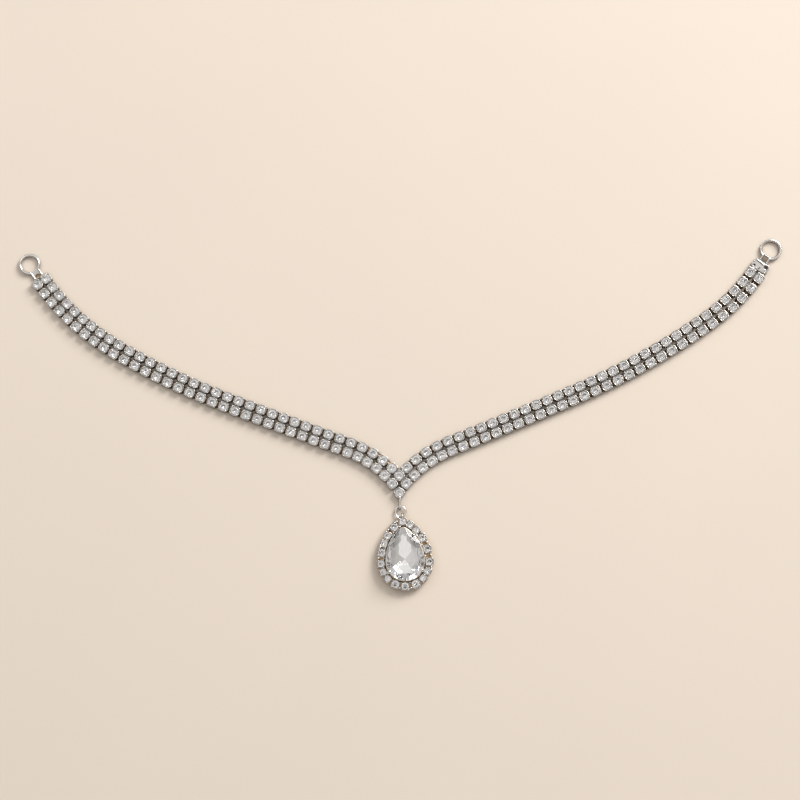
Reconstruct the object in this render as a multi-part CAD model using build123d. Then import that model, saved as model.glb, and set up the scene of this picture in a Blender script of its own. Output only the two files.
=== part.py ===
from build123d import *
import os
from collections import namedtuple
from math import atan2, cos, degrees, hypot, radians, sin

# A forehead jewel lying flat: two rows of square stone cups run out from a shallow V on each
# side, a pear-shaped drop in a ring of small cups hangs from the V on a wire ring, and each
# arm ends in a fastening ring. +X is the wearer's left as seen from above, +Y points from
# the drop up to the arms, +Z out of the face of the stones. Millimetres.

# ---- Place: the cup at the foot of the V, from the middle of the whole outline
APEX_X, APEX_Y = -0.33, -24.40
UPPER_APEX_RISE = 5.12          # from the lower cup of the V to the upper one

# ---- Cups of the two rows: square with rounded corners, each with a round stone
ROW_SPACING = 3.20              # between the two rows of an arm
CUP_LENGTH, CUP_WIDTH = 3.10, 2.90      # along the row and across it
CUP_CORNER = 0.60
CUP_FOOT_INSET = 0.25           # how far the foot draws in below the wall
CUP_FLARE_TOP = 0.50
CUP_RIM = 1.60
CROWN_RADIUS = 1.36             # the stone where it leaves its cup
CROWN_TABLE_RADIUS = 0.90       # flat top of the stone
CROWN_TOP = 2.30
LINK_WIDTH = 0.70
CENTRE_LINK_WIDTH = 0.30        # between the two cups of the V, past the arms' first corners
LINK_BOTTOM, LINK_TOP = 0.50, 1.00
LINK_INSET = 0.40               # how far a link reaches into the cups it joins

# ---- Arms: a column is one cup of each row, side by side; headings in degrees from +X
Spot = namedtuple("Spot", "x y heading")
Bend = namedtuple("Bend", "columns pitch turn")
ARM_START = Spot(0.90, 3.75, 50.0)      # first column of an arm, from the cup of the V
RIGHT_BENDS = (
    Bend(columns=5, pitch=3.55, turn=-28.0),
    Bend(columns=12, pitch=3.58, turn=1.5),
    Bend(columns=12, pitch=3.72, turn=12.0),
    Bend(columns=5, pitch=3.94, turn=17.5),
)
LEFT_BENDS = (
    Bend(columns=5, pitch=3.46, turn=-30.0),
    Bend(columns=11, pitch=3.60, turn=1.0),
    Bend(columns=10, pitch=3.68, turn=9.5),
    Bend(columns=9, pitch=3.49, turn=23.5),
)

# ---- Fastening rings and what carries them
RING_BORE_RADIUS = 2.43
RING_WALL = 0.85
RING_HEIGHT = 1.10
RING_MID_Z = 0.70
RING_INNER_ROUND, RING_OUTER_ROUND = 0.12, 0.30
RAIL_RADIUS = 0.32
SEAT_GAP = 0.15                 # between pieces that are hooked or crimped together
LEFT_RING_REACH = 6.78          # last column to ring centre
LEFT_RAIL_SPREAD = 2.50
WINDOW_START, WINDOW_END = 4.10, 4.75
RIGHT_RAIL_SPREAD = 2.20
PLATE_BOTTOM, PLATE_TOP = 0.45, 0.85
BAR_REACH = 3.32                # last column to the middle of the end bar
BAR_TURN = 4.0                  # from the last column's heading
BAR_LENGTH, BAR_WIDTH = 3.00, 5.60
BAR_BOTTOM, BAR_TOP = 0.15, 1.45
BAR_CORNER = 1.20
BAR_HOLE_SPACING = 3.70
BAR_HOLE_RADIUS = 0.42
BAR_DISH_RADIUS, BAR_DISH_DEPTH = 1.00, 0.45
RIGHT_RING_REACH = 6.36         # middle of the end bar to ring centre

# ---- Eye, jump ring and eyelet: both staples stand on edge, the ring lies flat through them
LINKAGE_MID_Z = 0.87
STAPLE_HALF_HEIGHT = 0.60
EYE_WIRE_RADIUS = 0.25
EYE_X = 0.15
EYE_BEND_Y = -4.18              # centre of the eye's round end
EYE_ROOT_WIDTH, EYE_ROOT_LENGTH = 0.72, 1.50
EYELET_WIRE_RADIUS = 0.20
EYELET_BEND_Y = 13.78           # centre of the eyelet's round end, in the drop's own frame
JUMP_CENTRE = (0.36, -5.44)
JUMP_RADIUS = 1.475             # to the middle of the wire
JUMP_WIRE_RADIUS = 0.25
JUMP_START = 238.0              # where the inner end of the wire lies, in degrees
JUMP_ROUND = 292.0              # how far the wire runs on the circle before it widens
LAP_RADIUS, LAP_ARC = 2.30, 62.0    # the widening last stretch, which laps outside the first

# ---- Drop: its own frame has its origin in the middle of the round end and +Y to the tip
DROP_X, DROP_Y, DROP_LEAN = 1.70, -20.61, 3.6
STONE_SIDE_RADIUS = 5.65
STONE_TIP_HEIGHT = 10.05
STONE_TIP_RADIUS = 1.30
CULET_Y, CULET_Z = 0.70, 2.40
GIRDLE_BOTTOM, GIRDLE_TOP = 3.80, 4.00
TABLE_Z = 5.60
TABLE_SCALE = 0.56
CULET_SCALE = 0.05
PLATE_MARGIN, PLATE_THICKNESS = 2.20, 0.60
SEAT_OUTER_MARGIN, SEAT_INNER_MARGIN = -0.35, -0.95
SEAT_TOP = 3.45
HALO_SIDE_RADIUS, HALO_TIP_HEIGHT, HALO_TIP_RADIUS = 7.10, 12.00, 2.40
HALO_STEPS = (3.05, 3.25, 2.5, 2.85, 3.25, 2.5, 2.42, 2.75, 2.95,  # from the tip, left side down
              3.2, 2.75, 2.42, 2.9, 3.8, 3.6, 2.8, 2.42, 2.5)      # and right side up again
HALO_FOOT_RADIUS, HALO_CUP_RADIUS = 0.90, 1.17
HALO_FOOT_Z, HALO_FLARE_TOP, HALO_RIM = 0.40, 1.10, 2.05
HALO_TABLE_RADIUS, HALO_TOP = 0.75, 2.65
CLAW_RADIUS = 0.45
CLAW_GAP = 0.12                 # from claw to stone
CLAW_REACH = 0.65               # how far a claw leans in over the crown
LOWER_CLAW_ANGLE = 30.0         # below the widest line
UPPER_CLAW_ANGLE = 38.4         # seen from the centre of the stone's side arc


def step_on(spot, length, turn):
    """The spot reached from another along an arc of this length and turn."""
    half = radians(turn / 2)
    chord = length * sin(half) / half
    way = radians(spot.heading) + half
    return Spot(spot.x + chord * cos(way), spot.y + chord * sin(way), spot.heading + turn)


def go(spot, ahead, aside=0.0):
    """A spot moved straight ahead and to its own left."""
    way = radians(spot.heading)
    return Spot(spot.x + ahead * cos(way) - aside * sin(way),
                spot.y + ahead * sin(way) + aside * cos(way), spot.heading)


def turned(spot, turn):
    return Spot(spot.x, spot.y, spot.heading + turn)


def mirrored(spot):
    return Spot(-spot.x, spot.y, 180 - spot.heading)


def at(spot, z=0.0):
    """The location of a piece drawn along +X from a spot of the layout."""
    return Location((APEX_X + spot.x, APEX_Y + spot.y, z), (0, 0, spot.heading))


def arm_columns(bends):
    """The column spots of a right arm, from the V outwards."""
    columns = [ARM_START]
    for bend in bends:
        start = columns[-1]
        for i in range(1, bend.columns + 1):
            columns.append(step_on(start, i * bend.pitch, i * bend.turn / bend.columns))
    return columns


def row_cup(cup_length=CUP_LENGTH):
    """A square cup on its narrower foot, closed by the crown of its round stone."""
    outline = RectangleRounded(cup_length, CUP_WIDTH, CUP_CORNER)
    foot = RectangleRounded(cup_length - 2 * CUP_FOOT_INSET, CUP_WIDTH - 2 * CUP_FOOT_INSET,
                            CUP_CORNER - CUP_FOOT_INSET)
    flare = loft([foot, Pos(0, 0, CUP_FLARE_TOP) * outline], ruled=True)
    wall = Pos(0, 0, CUP_FLARE_TOP) * extrude(outline, CUP_RIM - CUP_FLARE_TOP)
    crown = Pos(0, 0, (CUP_RIM + CROWN_TOP) / 2) * Cone(
        CROWN_RADIUS, CROWN_TABLE_RADIUS, CROWN_TOP - CUP_RIM)
    return flare.fuse(wall, crown)


def halo_cup():
    """A round cup closed by the crown of its stone."""
    profile = Polyline((0, HALO_FOOT_Z), (HALO_FOOT_RADIUS, HALO_FOOT_Z),
                       (HALO_CUP_RADIUS, HALO_FLARE_TOP), (HALO_CUP_RADIUS, HALO_RIM),
                       (HALO_TABLE_RADIUS, HALO_TOP), (0, HALO_TOP), close=True)
    return revolve(make_face(Plane.XZ * profile), Axis.Z)


def link_between(spot_a, spot_b, width=LINK_WIDTH):
    """A flat bar that joins two cups and reaches a little into each."""
    across, along = spot_b.x - spot_a.x, spot_b.y - spot_a.y
    length = hypot(across, along) - CUP_WIDTH + 2 * LINK_INSET
    middle = Spot((spot_a.x + spot_b.x) / 2, (spot_a.y + spot_b.y) / 2,
                  degrees(atan2(along, across)))
    bar = Box(length, width, LINK_TOP - LINK_BOTTOM)
    return at(middle, (LINK_BOTTOM + LINK_TOP) / 2) * bar


def cup_row(spots):
    """One row of an arm: its cups and the links between them, joined along the thread."""
    cup = row_cup()
    cups = [at(spot) * cup for spot in spots]
    links = [link_between(a, b) for a, b in zip(spots, spots[1:])]
    return cups[0].fuse(*cups[1:], *links)


def staple(reach, wire_radius):
    """An upright wire staple along +X: out on top, round its end and back below."""
    low, high = LINKAGE_MID_Z - STAPLE_HALF_HEIGHT, LINKAGE_MID_Z + STAPLE_HALF_HEIGHT
    out = Line((0, 0, high), (reach, 0, high))
    end = ThreePointArc((reach, 0, high), (reach + STAPLE_HALF_HEIGHT, 0, LINKAGE_MID_Z),
                        (reach, 0, low))
    back = Line((reach, 0, low), (0, 0, low))
    section = Plane(origin=(0, 0, high), z_dir=(1, 0, 0)) * Circle(wire_radius)
    return sweep(section, path=Wire([out.edge(), end.edge(), back.edge()]))


def centre_setting():
    """Both cups of the V, corner to corner, the bar between them, and the eye below them."""
    lower, upper = Spot(0, 0, 45), Spot(0, UPPER_APEX_RISE, 45)
    cup = row_cup(CUP_WIDTH)
    link = link_between(lower, upper, CENTRE_LINK_WIDTH)
    root = Spot(EYE_X, LINK_INSET - CUP_WIDTH / 2, -90)
    eye = at(root) * staple(root.y - EYE_BEND_Y, EYE_WIRE_RADIUS)
    root_height = LINKAGE_MID_Z + STAPLE_HALF_HEIGHT + EYE_WIRE_RADIUS - LINK_TOP
    root_block = at(go(root, EYE_ROOT_LENGTH / 2), LINK_TOP + root_height / 2) * Box(
        EYE_ROOT_LENGTH, EYE_ROOT_WIDTH, root_height)
    return (at(lower) * cup).fuse(at(upper) * cup, link, root_block, eye)


def jump_ring():
    """A flat ring of wire whose last stretch laps beside its first."""
    main = CenterArc((0, 0), JUMP_RADIUS, JUMP_START, JUMP_ROUND)
    lap_way = radians(JUMP_START + JUMP_ROUND)
    shift = JUMP_RADIUS - LAP_RADIUS
    lap_centre = (shift * cos(lap_way), shift * sin(lap_way))
    lap = CenterArc(lap_centre, LAP_RADIUS, JUMP_START + JUMP_ROUND, LAP_ARC)
    path = Wire([main.edge(), lap.edge()])
    section = Plane(origin=main @ 0, z_dir=main % 0) * Circle(JUMP_WIRE_RADIUS)
    return at(Spot(*JUMP_CENTRE, 0), LINKAGE_MID_Z) * sweep(section, path=path)


def side_arc_radius(side_radius, tip_height, tip_radius):
    """The side arc that leaves a half circle upright and meets a rounded tip smoothly."""
    rise = tip_height - tip_radius
    return (side_radius**2 + rise**2 - tip_radius**2) / (2 * (side_radius - tip_radius))


def pear(side_radius, tip_height, tip_radius):
    """A pear outline: two side arcs, a rounded tip on +Y between them, a half circle below."""
    arc_radius = side_arc_radius(side_radius, tip_height, tip_radius)
    centre_x = side_radius - arc_radius
    turn = degrees(atan2(tip_height - tip_radius, -centre_x))
    edges = [
        CenterArc((centre_x, 0), arc_radius, 0, turn),
        CenterArc((0, tip_height - tip_radius), tip_radius, turn, 180 - 2 * turn),
        CenterArc((-centre_x, 0), arc_radius, 180 - turn, turn),
        CenterArc((0, 0), side_radius, 180, 180),
    ]
    return Wire([edge.edge() for edge in edges])


def stone_outline(margin=0.0):
    """The stone's girdle, moved out by a margin all round."""
    return pear(STONE_SIDE_RADIUS + margin, STONE_TIP_HEIGHT + margin, STONE_TIP_RADIUS + margin)


def drop_place():
    """Where the drop's own frame lies."""
    return at(Spot(DROP_X, DROP_Y, DROP_LEAN))


def halo_centres():
    """Where the small cups stand, round the stone from the tip, left side first."""
    path = pear(HALO_SIDE_RADIUS, HALO_TIP_HEIGHT, HALO_TIP_RADIUS)
    lengths = [edge.length for edge in path.edges()]
    total = sum(lengths)
    tip_way = (lengths[0] + lengths[1] / 2) / total
    centres = []
    gone = 0.0
    for step in HALO_STEPS:
        point = path.position_at((tip_way + gone / sum(HALO_STEPS)) % 1.0)
        centres.append((point.X, point.Y))
        gone += step
    return centres


def claw():
    """A claw on the edge of the stone: a post outside it and a tip leaning over the crown,
    drawn with the girdle at x = 0 and the stone on the -X side."""
    run = STONE_SIDE_RADIUS * (1 - TABLE_SCALE)
    rise = TABLE_Z - GIRDLE_TOP
    slope = hypot(run, rise)
    clear = CLAW_RADIUS + CLAW_GAP
    post_x = clear
    knee_z = GIRDLE_TOP + clear * (slope - rise) / run
    tip_x, tip_z = post_x - CLAW_REACH, knee_z + CLAW_REACH * rise / run
    post = Pos(post_x, 0, knee_z / 2) * Cylinder(CLAW_RADIUS, knee_z)
    knee = Pos(post_x, 0, knee_z) * Sphere(CLAW_RADIUS)
    arm = hypot(tip_x - post_x, tip_z - knee_z)
    lean = Plane(origin=(post_x, 0, knee_z), z_dir=(tip_x - post_x, 0, tip_z - knee_z))
    finger = lean * Pos(0, 0, arm / 2) * Cylinder(CLAW_RADIUS, arm)
    tip = Pos(tip_x, 0, tip_z) * Sphere(CLAW_RADIUS)
    return post.fuse(knee, finger, tip)


def claw_places():
    """Each claw's spot on the girdle, heading outwards, in the drop's own frame."""
    arc_radius = side_arc_radius(STONE_SIDE_RADIUS, STONE_TIP_HEIGHT, STONE_TIP_RADIUS)
    lower = Spot(0, 0, -LOWER_CLAW_ANGLE)
    upper = Spot(STONE_SIDE_RADIUS - arc_radius, 0, UPPER_CLAW_ANGLE)
    right = [go(lower, STONE_SIDE_RADIUS), go(upper, arc_radius)]
    return right + [mirrored(spot) for spot in right]


def drop_frame():
    """Everything of the drop that is metal, and the small stones in their cups."""
    plate = extrude(make_face(stone_outline(PLATE_MARGIN)), PLATE_THICKNESS)
    seat_ring = make_face(stone_outline(SEAT_OUTER_MARGIN)) - make_face(
        stone_outline(SEAT_INNER_MARGIN))
    seat = extrude(seat_ring, SEAT_TOP)
    cups = [Pos(x, y, 0) * halo_cup() for x, y in halo_centres()]
    claws = [Location((spot.x, spot.y, 0), (0, 0, spot.heading)) * claw()
             for spot in claw_places()]
    root_y = HALO_TIP_HEIGHT + HALO_CUP_RADIUS - LINK_INSET
    eyelet = Location((0, root_y, 0), (0, 0, 90)) * staple(
        EYELET_BEND_Y - root_y, EYELET_WIRE_RADIUS)
    return drop_place() * plate.fuse(seat, *cups, *claws, eyelet)


def pear_stone():
    """The large stone: pointed back, thin girdle, sloping crown and flat table."""
    girdle = make_face(stone_outline())
    table = scale(girdle, TABLE_SCALE)
    culet = Pos(0, CULET_Y, 0) * scale(girdle, CULET_SCALE)
    band = Pos(0, 0, GIRDLE_BOTTOM) * extrude(girdle, GIRDLE_TOP - GIRDLE_BOTTOM)
    crown = loft([Pos(0, 0, GIRDLE_TOP) * girdle, Pos(0, 0, TABLE_Z) * table], ruled=True)
    back = loft([Pos(0, 0, CULET_Z) * culet, Pos(0, 0, GIRDLE_BOTTOM) * girdle], ruled=True)
    return drop_place() * band.fuse(crown, back)


def fastening_ring():
    """A flat band ring whose bore stays round and straight."""
    section = Pos(RING_BORE_RADIUS + RING_WALL / 2, RING_MID_Z) * Rectangle(
        RING_WALL, RING_HEIGHT)
    corners = section.vertices().sort_by(Axis.X)
    section = fillet(corners[:2], RING_INNER_ROUND)
    section = fillet(section.vertices().sort_by(Axis.X)[-2:], RING_OUTER_ROUND)
    return revolve(Plane.XZ * section, Axis.Z)


def rails(spread, end):
    """The two wires that run back from the ring to what carries it, along +X."""
    start = RING_BORE_RADIUS + RING_INNER_ROUND
    rail = Rot(0, 90, 0) * Cylinder(RAIL_RADIUS, end - start)
    middle = (start + end) / 2
    return [Pos(middle, side * spread / 2, RING_MID_Z) * rail for side in (-1, 1)]


def cross_plate(start, end, width):
    return Pos((start + end) / 2, 0, (PLATE_BOTTOM + PLATE_TOP) / 2) * Box(
        end - start, width, PLATE_TOP - PLATE_BOTTOM)


def left_end_loop(ring_spot):
    """Ring, two rails and two cross plates with a window between them."""
    rail_end = LEFT_RING_REACH - CUP_LENGTH / 2 - SEAT_GAP
    pieces = rails(LEFT_RAIL_SPREAD, rail_end)
    pieces.append(cross_plate(RING_BORE_RADIUS + RING_WALL / 2, WINDOW_START, LEFT_RAIL_SPREAD))
    pieces.append(cross_plate(WINDOW_END, rail_end, LEFT_RAIL_SPREAD))
    return at(ring_spot) * fastening_ring().fuse(*pieces)


def right_end_loop(ring_spot):
    """Ring, two rails and one web between them."""
    rail_end = RIGHT_RING_REACH - BAR_LENGTH / 2 - SEAT_GAP
    pieces = rails(RIGHT_RAIL_SPREAD, rail_end)
    pieces.append(cross_plate(RING_BORE_RADIUS + RING_WALL / 2, rail_end, RIGHT_RAIL_SPREAD))
    return at(ring_spot) * fastening_ring().fuse(*pieces)


def right_end_bar(bar_spot):
    """A rounded bar across both rows with a dished hole over each."""
    blank = extrude(RectangleRounded(BAR_LENGTH, BAR_WIDTH, BAR_CORNER), BAR_TOP - BAR_BOTTOM)
    bar = Pos(0, 0, BAR_BOTTOM) * blank
    for side in (-1, 1):
        y = side * BAR_HOLE_SPACING / 2
        bar -= Pos(0, y, (BAR_BOTTOM + BAR_TOP) / 2) * Cylinder(BAR_HOLE_RADIUS, BAR_TOP)
        bar -= Pos(0, y, BAR_TOP) * Cylinder(BAR_DISH_RADIUS, 2 * BAR_DISH_DEPTH)
    return at(bar_spot) * bar


def write(name, solid):
    solid.label = name
    export_step(solid, f"parts/{name}.step")


def main():
    os.makedirs("parts", exist_ok=True)
    half = ROW_SPACING / 2
    right, left = arm_columns(RIGHT_BENDS), arm_columns(LEFT_BENDS)
    write("right_lower_row", cup_row([go(spot, 0, -half) for spot in right]))
    write("right_upper_row", cup_row([go(spot, 0, half) for spot in right[1:]]))
    write("left_lower_row", cup_row([mirrored(go(spot, 0, -half)) for spot in left]))
    write("left_upper_row", cup_row([mirrored(go(spot, 0, half)) for spot in left[1:]]))
    write("centre_setting", centre_setting())
    write("jump_ring", jump_ring())
    write("drop_frame", drop_frame())
    write("pear_stone", pear_stone())

    bar_spot = go(turned(right[-1], BAR_TURN), BAR_REACH)
    right_ring = go(bar_spot, RIGHT_RING_REACH)
    left_ring = mirrored(go(left[-1], LEFT_RING_REACH))
    write("right_end_bar", right_end_bar(bar_spot))
    write("right_end_loop", right_end_loop(turned(right_ring, 180)))
    write("left_end_loop", left_end_loop(turned(left_ring, 180)))


main()
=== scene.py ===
"""A forehead band of two rows of stones with a pear drop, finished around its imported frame."""
from collections import namedtuple
from math import atan2, cos, degrees, hypot, pi, radians, sin, tau

import bmesh
import bpy
from mathutils import Matrix, Vector


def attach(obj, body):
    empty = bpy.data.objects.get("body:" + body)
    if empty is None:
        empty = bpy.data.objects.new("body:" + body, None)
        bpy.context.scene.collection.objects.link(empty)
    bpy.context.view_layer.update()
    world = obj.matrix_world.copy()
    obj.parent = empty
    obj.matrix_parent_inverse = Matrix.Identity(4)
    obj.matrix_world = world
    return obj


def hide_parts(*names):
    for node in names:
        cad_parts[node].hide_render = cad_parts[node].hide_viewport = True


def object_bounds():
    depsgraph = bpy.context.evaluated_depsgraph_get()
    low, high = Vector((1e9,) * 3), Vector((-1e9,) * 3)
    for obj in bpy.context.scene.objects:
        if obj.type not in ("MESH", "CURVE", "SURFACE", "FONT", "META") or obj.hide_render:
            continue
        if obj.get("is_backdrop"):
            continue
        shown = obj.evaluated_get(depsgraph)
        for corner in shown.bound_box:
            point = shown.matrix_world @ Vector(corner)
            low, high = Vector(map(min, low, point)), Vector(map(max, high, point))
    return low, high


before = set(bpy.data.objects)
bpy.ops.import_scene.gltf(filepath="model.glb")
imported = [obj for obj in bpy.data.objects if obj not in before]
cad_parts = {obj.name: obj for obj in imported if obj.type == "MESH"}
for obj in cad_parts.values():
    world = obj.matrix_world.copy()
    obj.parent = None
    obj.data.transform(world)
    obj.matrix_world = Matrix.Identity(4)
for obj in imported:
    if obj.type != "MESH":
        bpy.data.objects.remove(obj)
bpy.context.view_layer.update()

bl_info = {
    "name": "Forehead band with pear drop",
    "version": (1, 0, 0),
    "blender": (4, 5, 0),
    "location": "3D View > Sidebar > Jewel",
    "description": "Sets the stones and finishes the metal of a forehead band around its frame",
    "category": "Object",
}

MM = 0.001
BODY = "root"
UP = Vector((0, 0, 1))
ASIDE = Vector((0, 1, 0))

# ---- Layout, the same as the frame's: spots in metres, headings in degrees from +X
Spot = namedtuple("Spot", "x y heading")
Bend = namedtuple("Bend", "columns pitch turn")
APEX = Spot(-0.33 * MM, -24.40 * MM, 45.0)    # both cups of the V stand corner to corner
UPPER_APEX_RISE = 5.12 * MM
ROW_SPACING = 3.20 * MM
ARM_START = Spot(0.90 * MM, 3.75 * MM, 50.0)
RIGHT_BENDS = (
    Bend(columns=5, pitch=3.55 * MM, turn=-28.0),
    Bend(columns=12, pitch=3.58 * MM, turn=1.5),
    Bend(columns=12, pitch=3.72 * MM, turn=12.0),
    Bend(columns=5, pitch=3.94 * MM, turn=17.5),
)
LEFT_BENDS = (
    Bend(columns=5, pitch=3.46 * MM, turn=-30.0),
    Bend(columns=11, pitch=3.60 * MM, turn=1.0),
    Bend(columns=10, pitch=3.68 * MM, turn=9.5),
    Bend(columns=9, pitch=3.49 * MM, turn=23.5),
)
LEFT_RING_REACH = 6.78 * MM
BAR_REACH, BAR_TURN = 3.32 * MM, 4.0
RIGHT_RING_REACH = 6.36 * MM
DROP = Spot(1.70 * MM, -20.61 * MM, 3.6)
# From the middle of each halo cup to the next, in millimetres, from the tip round by the left
HALO_STEPS = (3.05, 3.25, 2.5, 2.85, 3.25, 2.5, 2.42, 2.75, 2.95,
              3.2, 2.75, 2.42, 2.9, 3.8, 3.6, 2.8, 2.42, 2.5)

# ---- Cups, their stones and the links between them
CUP_WALL, CUP_ROUND_OFF = 0.09 * MM, 0.03 * MM
STONE_PLAY = 0.03 * MM          # between a stone's girdle and the seat inside its cup
GIRDLE_LIFT = 0.04 * MM         # from a cup's rim to the middle of its stone's girdle
LINK_INSET, LINK_HEIGHT, LINK_MID_Z = 0.25 * MM, 0.50 * MM, 0.75 * MM
CENTRE_LINK_WIDTH = 0.30 * MM
ROW_STONE_DEPTH = 0.88 * MM
CENTRE_SEED, HALO_SEED = 5, 6   # added to the rows' seed
# A prong: its reach against the cup's corner and its height above the rim against its own half
# thickness, then half its width and half its height there against the same
PRONG = ((0.95, -2.6, 0.6, 0.8), (0.975, -0.5, 0.8, 0.9),
         (0.95, 0.7, 0.95, 1.0), (0.83, 1.35, 1.05, 1.1))
# Outlines of cups and stones, from a circle to a square with tight corners
ROUND, CUSHION, SQUARE, BLOCK = 2.0, 2.2, 3.4, 7.0
DOME = 0.7                      # of a wire's thickness, half way up the dome on its end

# ---- Cut of a round stone: how far out its table, the break of its crown and the break of its
# back reach against the girdle, and how high or deep the two breaks are against the whole
STONE_GIRDLE = 0.05 * MM
TABLE_REACH = 0.50
CROWN_REACH, CROWN_RISE = 0.80025, 0.48
BACK_REACH, BACK_DROP = 0.36, 0.70

# ---- The halo and the back of the drop
HALO_SIDE_RADIUS, HALO_TIP_HEIGHT, HALO_TIP_RADIUS = 7.10 * MM, 12.00 * MM, 2.40 * MM
HALO_FOOT_RADIUS, HALO_FOOT_Z, HALO_FLARE_TOP = 1.05 * MM, 0.55 * MM, 1.10 * MM
HALO_RIM, HALO_PRONG_RADIUS = 2.05 * MM, 0.25 * MM
HALO_CUP_GAP = 0.04 * MM        # least room left between two halo cups
HALO_STONE_DEPTH, HALO_STONE_CROWN, HALO_STONE_TILT = 0.80 * MM, 0.52 * MM, 5.0
BEAD_ROOM, BEAD_SPREAD = 2.75 * MM, 0.88 * MM    # beads stand where halo cups are further apart
HALO_BEAD_Z = 0.50 * MM
DROP_PLATE_TOP, DROP_PLATE_BEVEL = 0.60 * MM, 0.08 * MM
# The bezel, from the stone's outline: it leans out from its foot and waist to its lip
BEZEL_FOOT_IN, BEZEL_WAIST_IN, BEZEL_OUTER, BEZEL_LIP = 0.35 * MM, 0.30 * MM, 0.13 * MM, 0.02 * MM
BEZEL_FOOT_Z, BEZEL_WAIST_Z, BEZEL_WALL = 0.55 * MM, 3.00 * MM, 0.15 * MM

# ---- The claws of the pear stone: where each stands in degrees, and how thick it is; then
# their foot and their fold: how far out from the girdle, the height, which for the fold is
# above the girdle, and half the width and half the height against the claw's radius
CLAWS = ((-30, 1.0), (210, 1.0), (38.4, 0.68), (141.6, 0.68))
CLAW_FOOT = (0.50 * MM, 0.50 * MM, 0.60, 0.70)
CLAW_FOLD = ((0.50 * MM, -0.60 * MM, 0.70, 0.80), (0.42 * MM, 0.05 * MM, 0.85, 0.95),
             (0.15 * MM, 0.42 * MM, 1.0, 1.1), (-0.12 * MM, 0.62 * MM, 1.0, 1.0))

# ---- Fastening rings, rails and the end bar
RING_BORE_RADIUS, RING_WALL = 2.43 * MM, 0.85 * MM
RING_HEIGHT, RING_MID_Z = 1.10 * MM, 0.70 * MM
RING_CREST, RING_RIDGE = 0.28 * MM, 0.25 * MM    # from the bore to the crest; the ridge's rise
LEFT_OPENING, RIGHT_OPENING = 32, 24             # degrees open each side of the rails' middle
RAIL_RADIUS, KNEE_LENGTH = 0.32 * MM, 0.42 * MM
SEAT_GAP = 0.15 * MM
LEFT_RAIL_SPREAD, RIGHT_RAIL_SPREAD = 2.50 * MM, 2.20 * MM
PLATE_BOTTOM, PLATE_TOP, PLATE_BEVEL = 0.45 * MM, 0.85 * MM, 0.03 * MM
PLATE_INTO_RING, PLATE_ARC = 0.05 * MM, 31       # half the arc of its edge there, in degrees
# A thin plate low under the left loop's window, where there is only shade, drawn wholly in warm
# painted shade so that the window looks like deep shadow: where it starts, and its bottom and top
SHADE_LEAF_START, SHADE_LEAF_BOTTOM, SHADE_LEAF_TOP = 3.30 * MM, 0.15 * MM, 0.35 * MM
WINDOW_END, WINDOW_RADIUS = 4.75 * MM, 0.95 * MM
# The tongue of the left plates: its place beside the middle, its size, and its path along the
# loop and upwards, in millimetres
TONGUE_SIDE, TONGUE_THICKNESS, TONGUE_WIDTH = 0.98 * MM, 0.14 * MM, 1.84 * MM
TONGUE = ((4.72, 0.80), (4.98, 0.92), (5.10, 1.20), (5.20, 1.62), (5.36, 1.78), (5.70, 1.80))
FORK_RAIL_Z, FORK_TALL = 0.88 * MM, 1.05
FORK_RAILS = ((-1, 0.85), (1, 1.0))              # side, and width against the left loop's rails
FORK_INTO_RING, CROSS_INTO_RING, WEB_INTO_RING = 0.02 * MM, 0.05 * MM, 0.08 * MM
CROSS_WIDTH, CROSS_HEIGHT = 0.30 * MM, 0.44 * MM
BAR_LENGTH, BAR_WIDTH, BAR_CORNER = 3.00 * MM, 5.60 * MM, 1.20 * MM
BAR_BOTTOM, BAR_TOP, BAR_BEVEL = 0.15 * MM, 1.45 * MM, 0.10 * MM
NOTCH_DEPTH, SEAM_DEPTH, SEAM_WIDTH = 0.45 * MM, 0.40 * MM, 0.20 * MM
# The bar's own details, in millimetres from its middle, +X towards the ring:
# seats (place, hole radius, dish radius, depth), notches and beads (place, radius), the seam
# across it, and the collar (place, half width)
BAR_SEATS = ((-0.62, 1.75, 0.30, 0.52, 0.16), (0.55, -1.68, 0.46, 0.70, 0.25))
BAR_NOTCHES = ((-0.50, -0.10, 0.20), (-1.05, 0.12, 0.20), (-0.78, 0.02, 0.15))
BAR_BEADS = ((0.55, 2.38, 0.32), (-1.02, -2.10, 0.30), (-1.18, 2.25, 0.22), (-1.22, 0.85, 0.22))
BAR_SEAM = ((0.95, 1.75), (0.88, 1.30), (0.84, 0.70), (0.72, 0.10), (0.52, -0.45))
BAR_COLLAR = ((1.02, 2.40, 0.16), (1.24, 2.00, 0.24), (1.28, 1.40, 0.27), (1.24, 0.80, 0.26),
              (1.12, 0.20, 0.26), (1.02, -0.30, 0.25), (1.10, -0.80, 0.22))
DISH_FLOOR, NOTCH_FLOOR = 0.75, 0.80             # how wide their floors are against their mouths
DISH_STEP = 0.04 * MM
CUTTER_BELOW, CUTTER_ABOVE = 0.20 * MM, 0.10 * MM    # how far the cutters pass the bar's faces
COLLAR_SINK, COLLAR_ROUND = 0.02 * MM, 0.80      # the collar's height against its width
# The wire round the larger dish: millimetres past the dish's radius, then its size
SEAT_RIM_OUT, SEAT_RIM_WIDTH, SEAT_RIM_HEIGHT = 0.10, 0.34 * MM, 0.32 * MM
BAR_BEAD_SINK, BAR_BEAD_RISE = 0.30 * MM, 0.05 * MM

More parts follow.
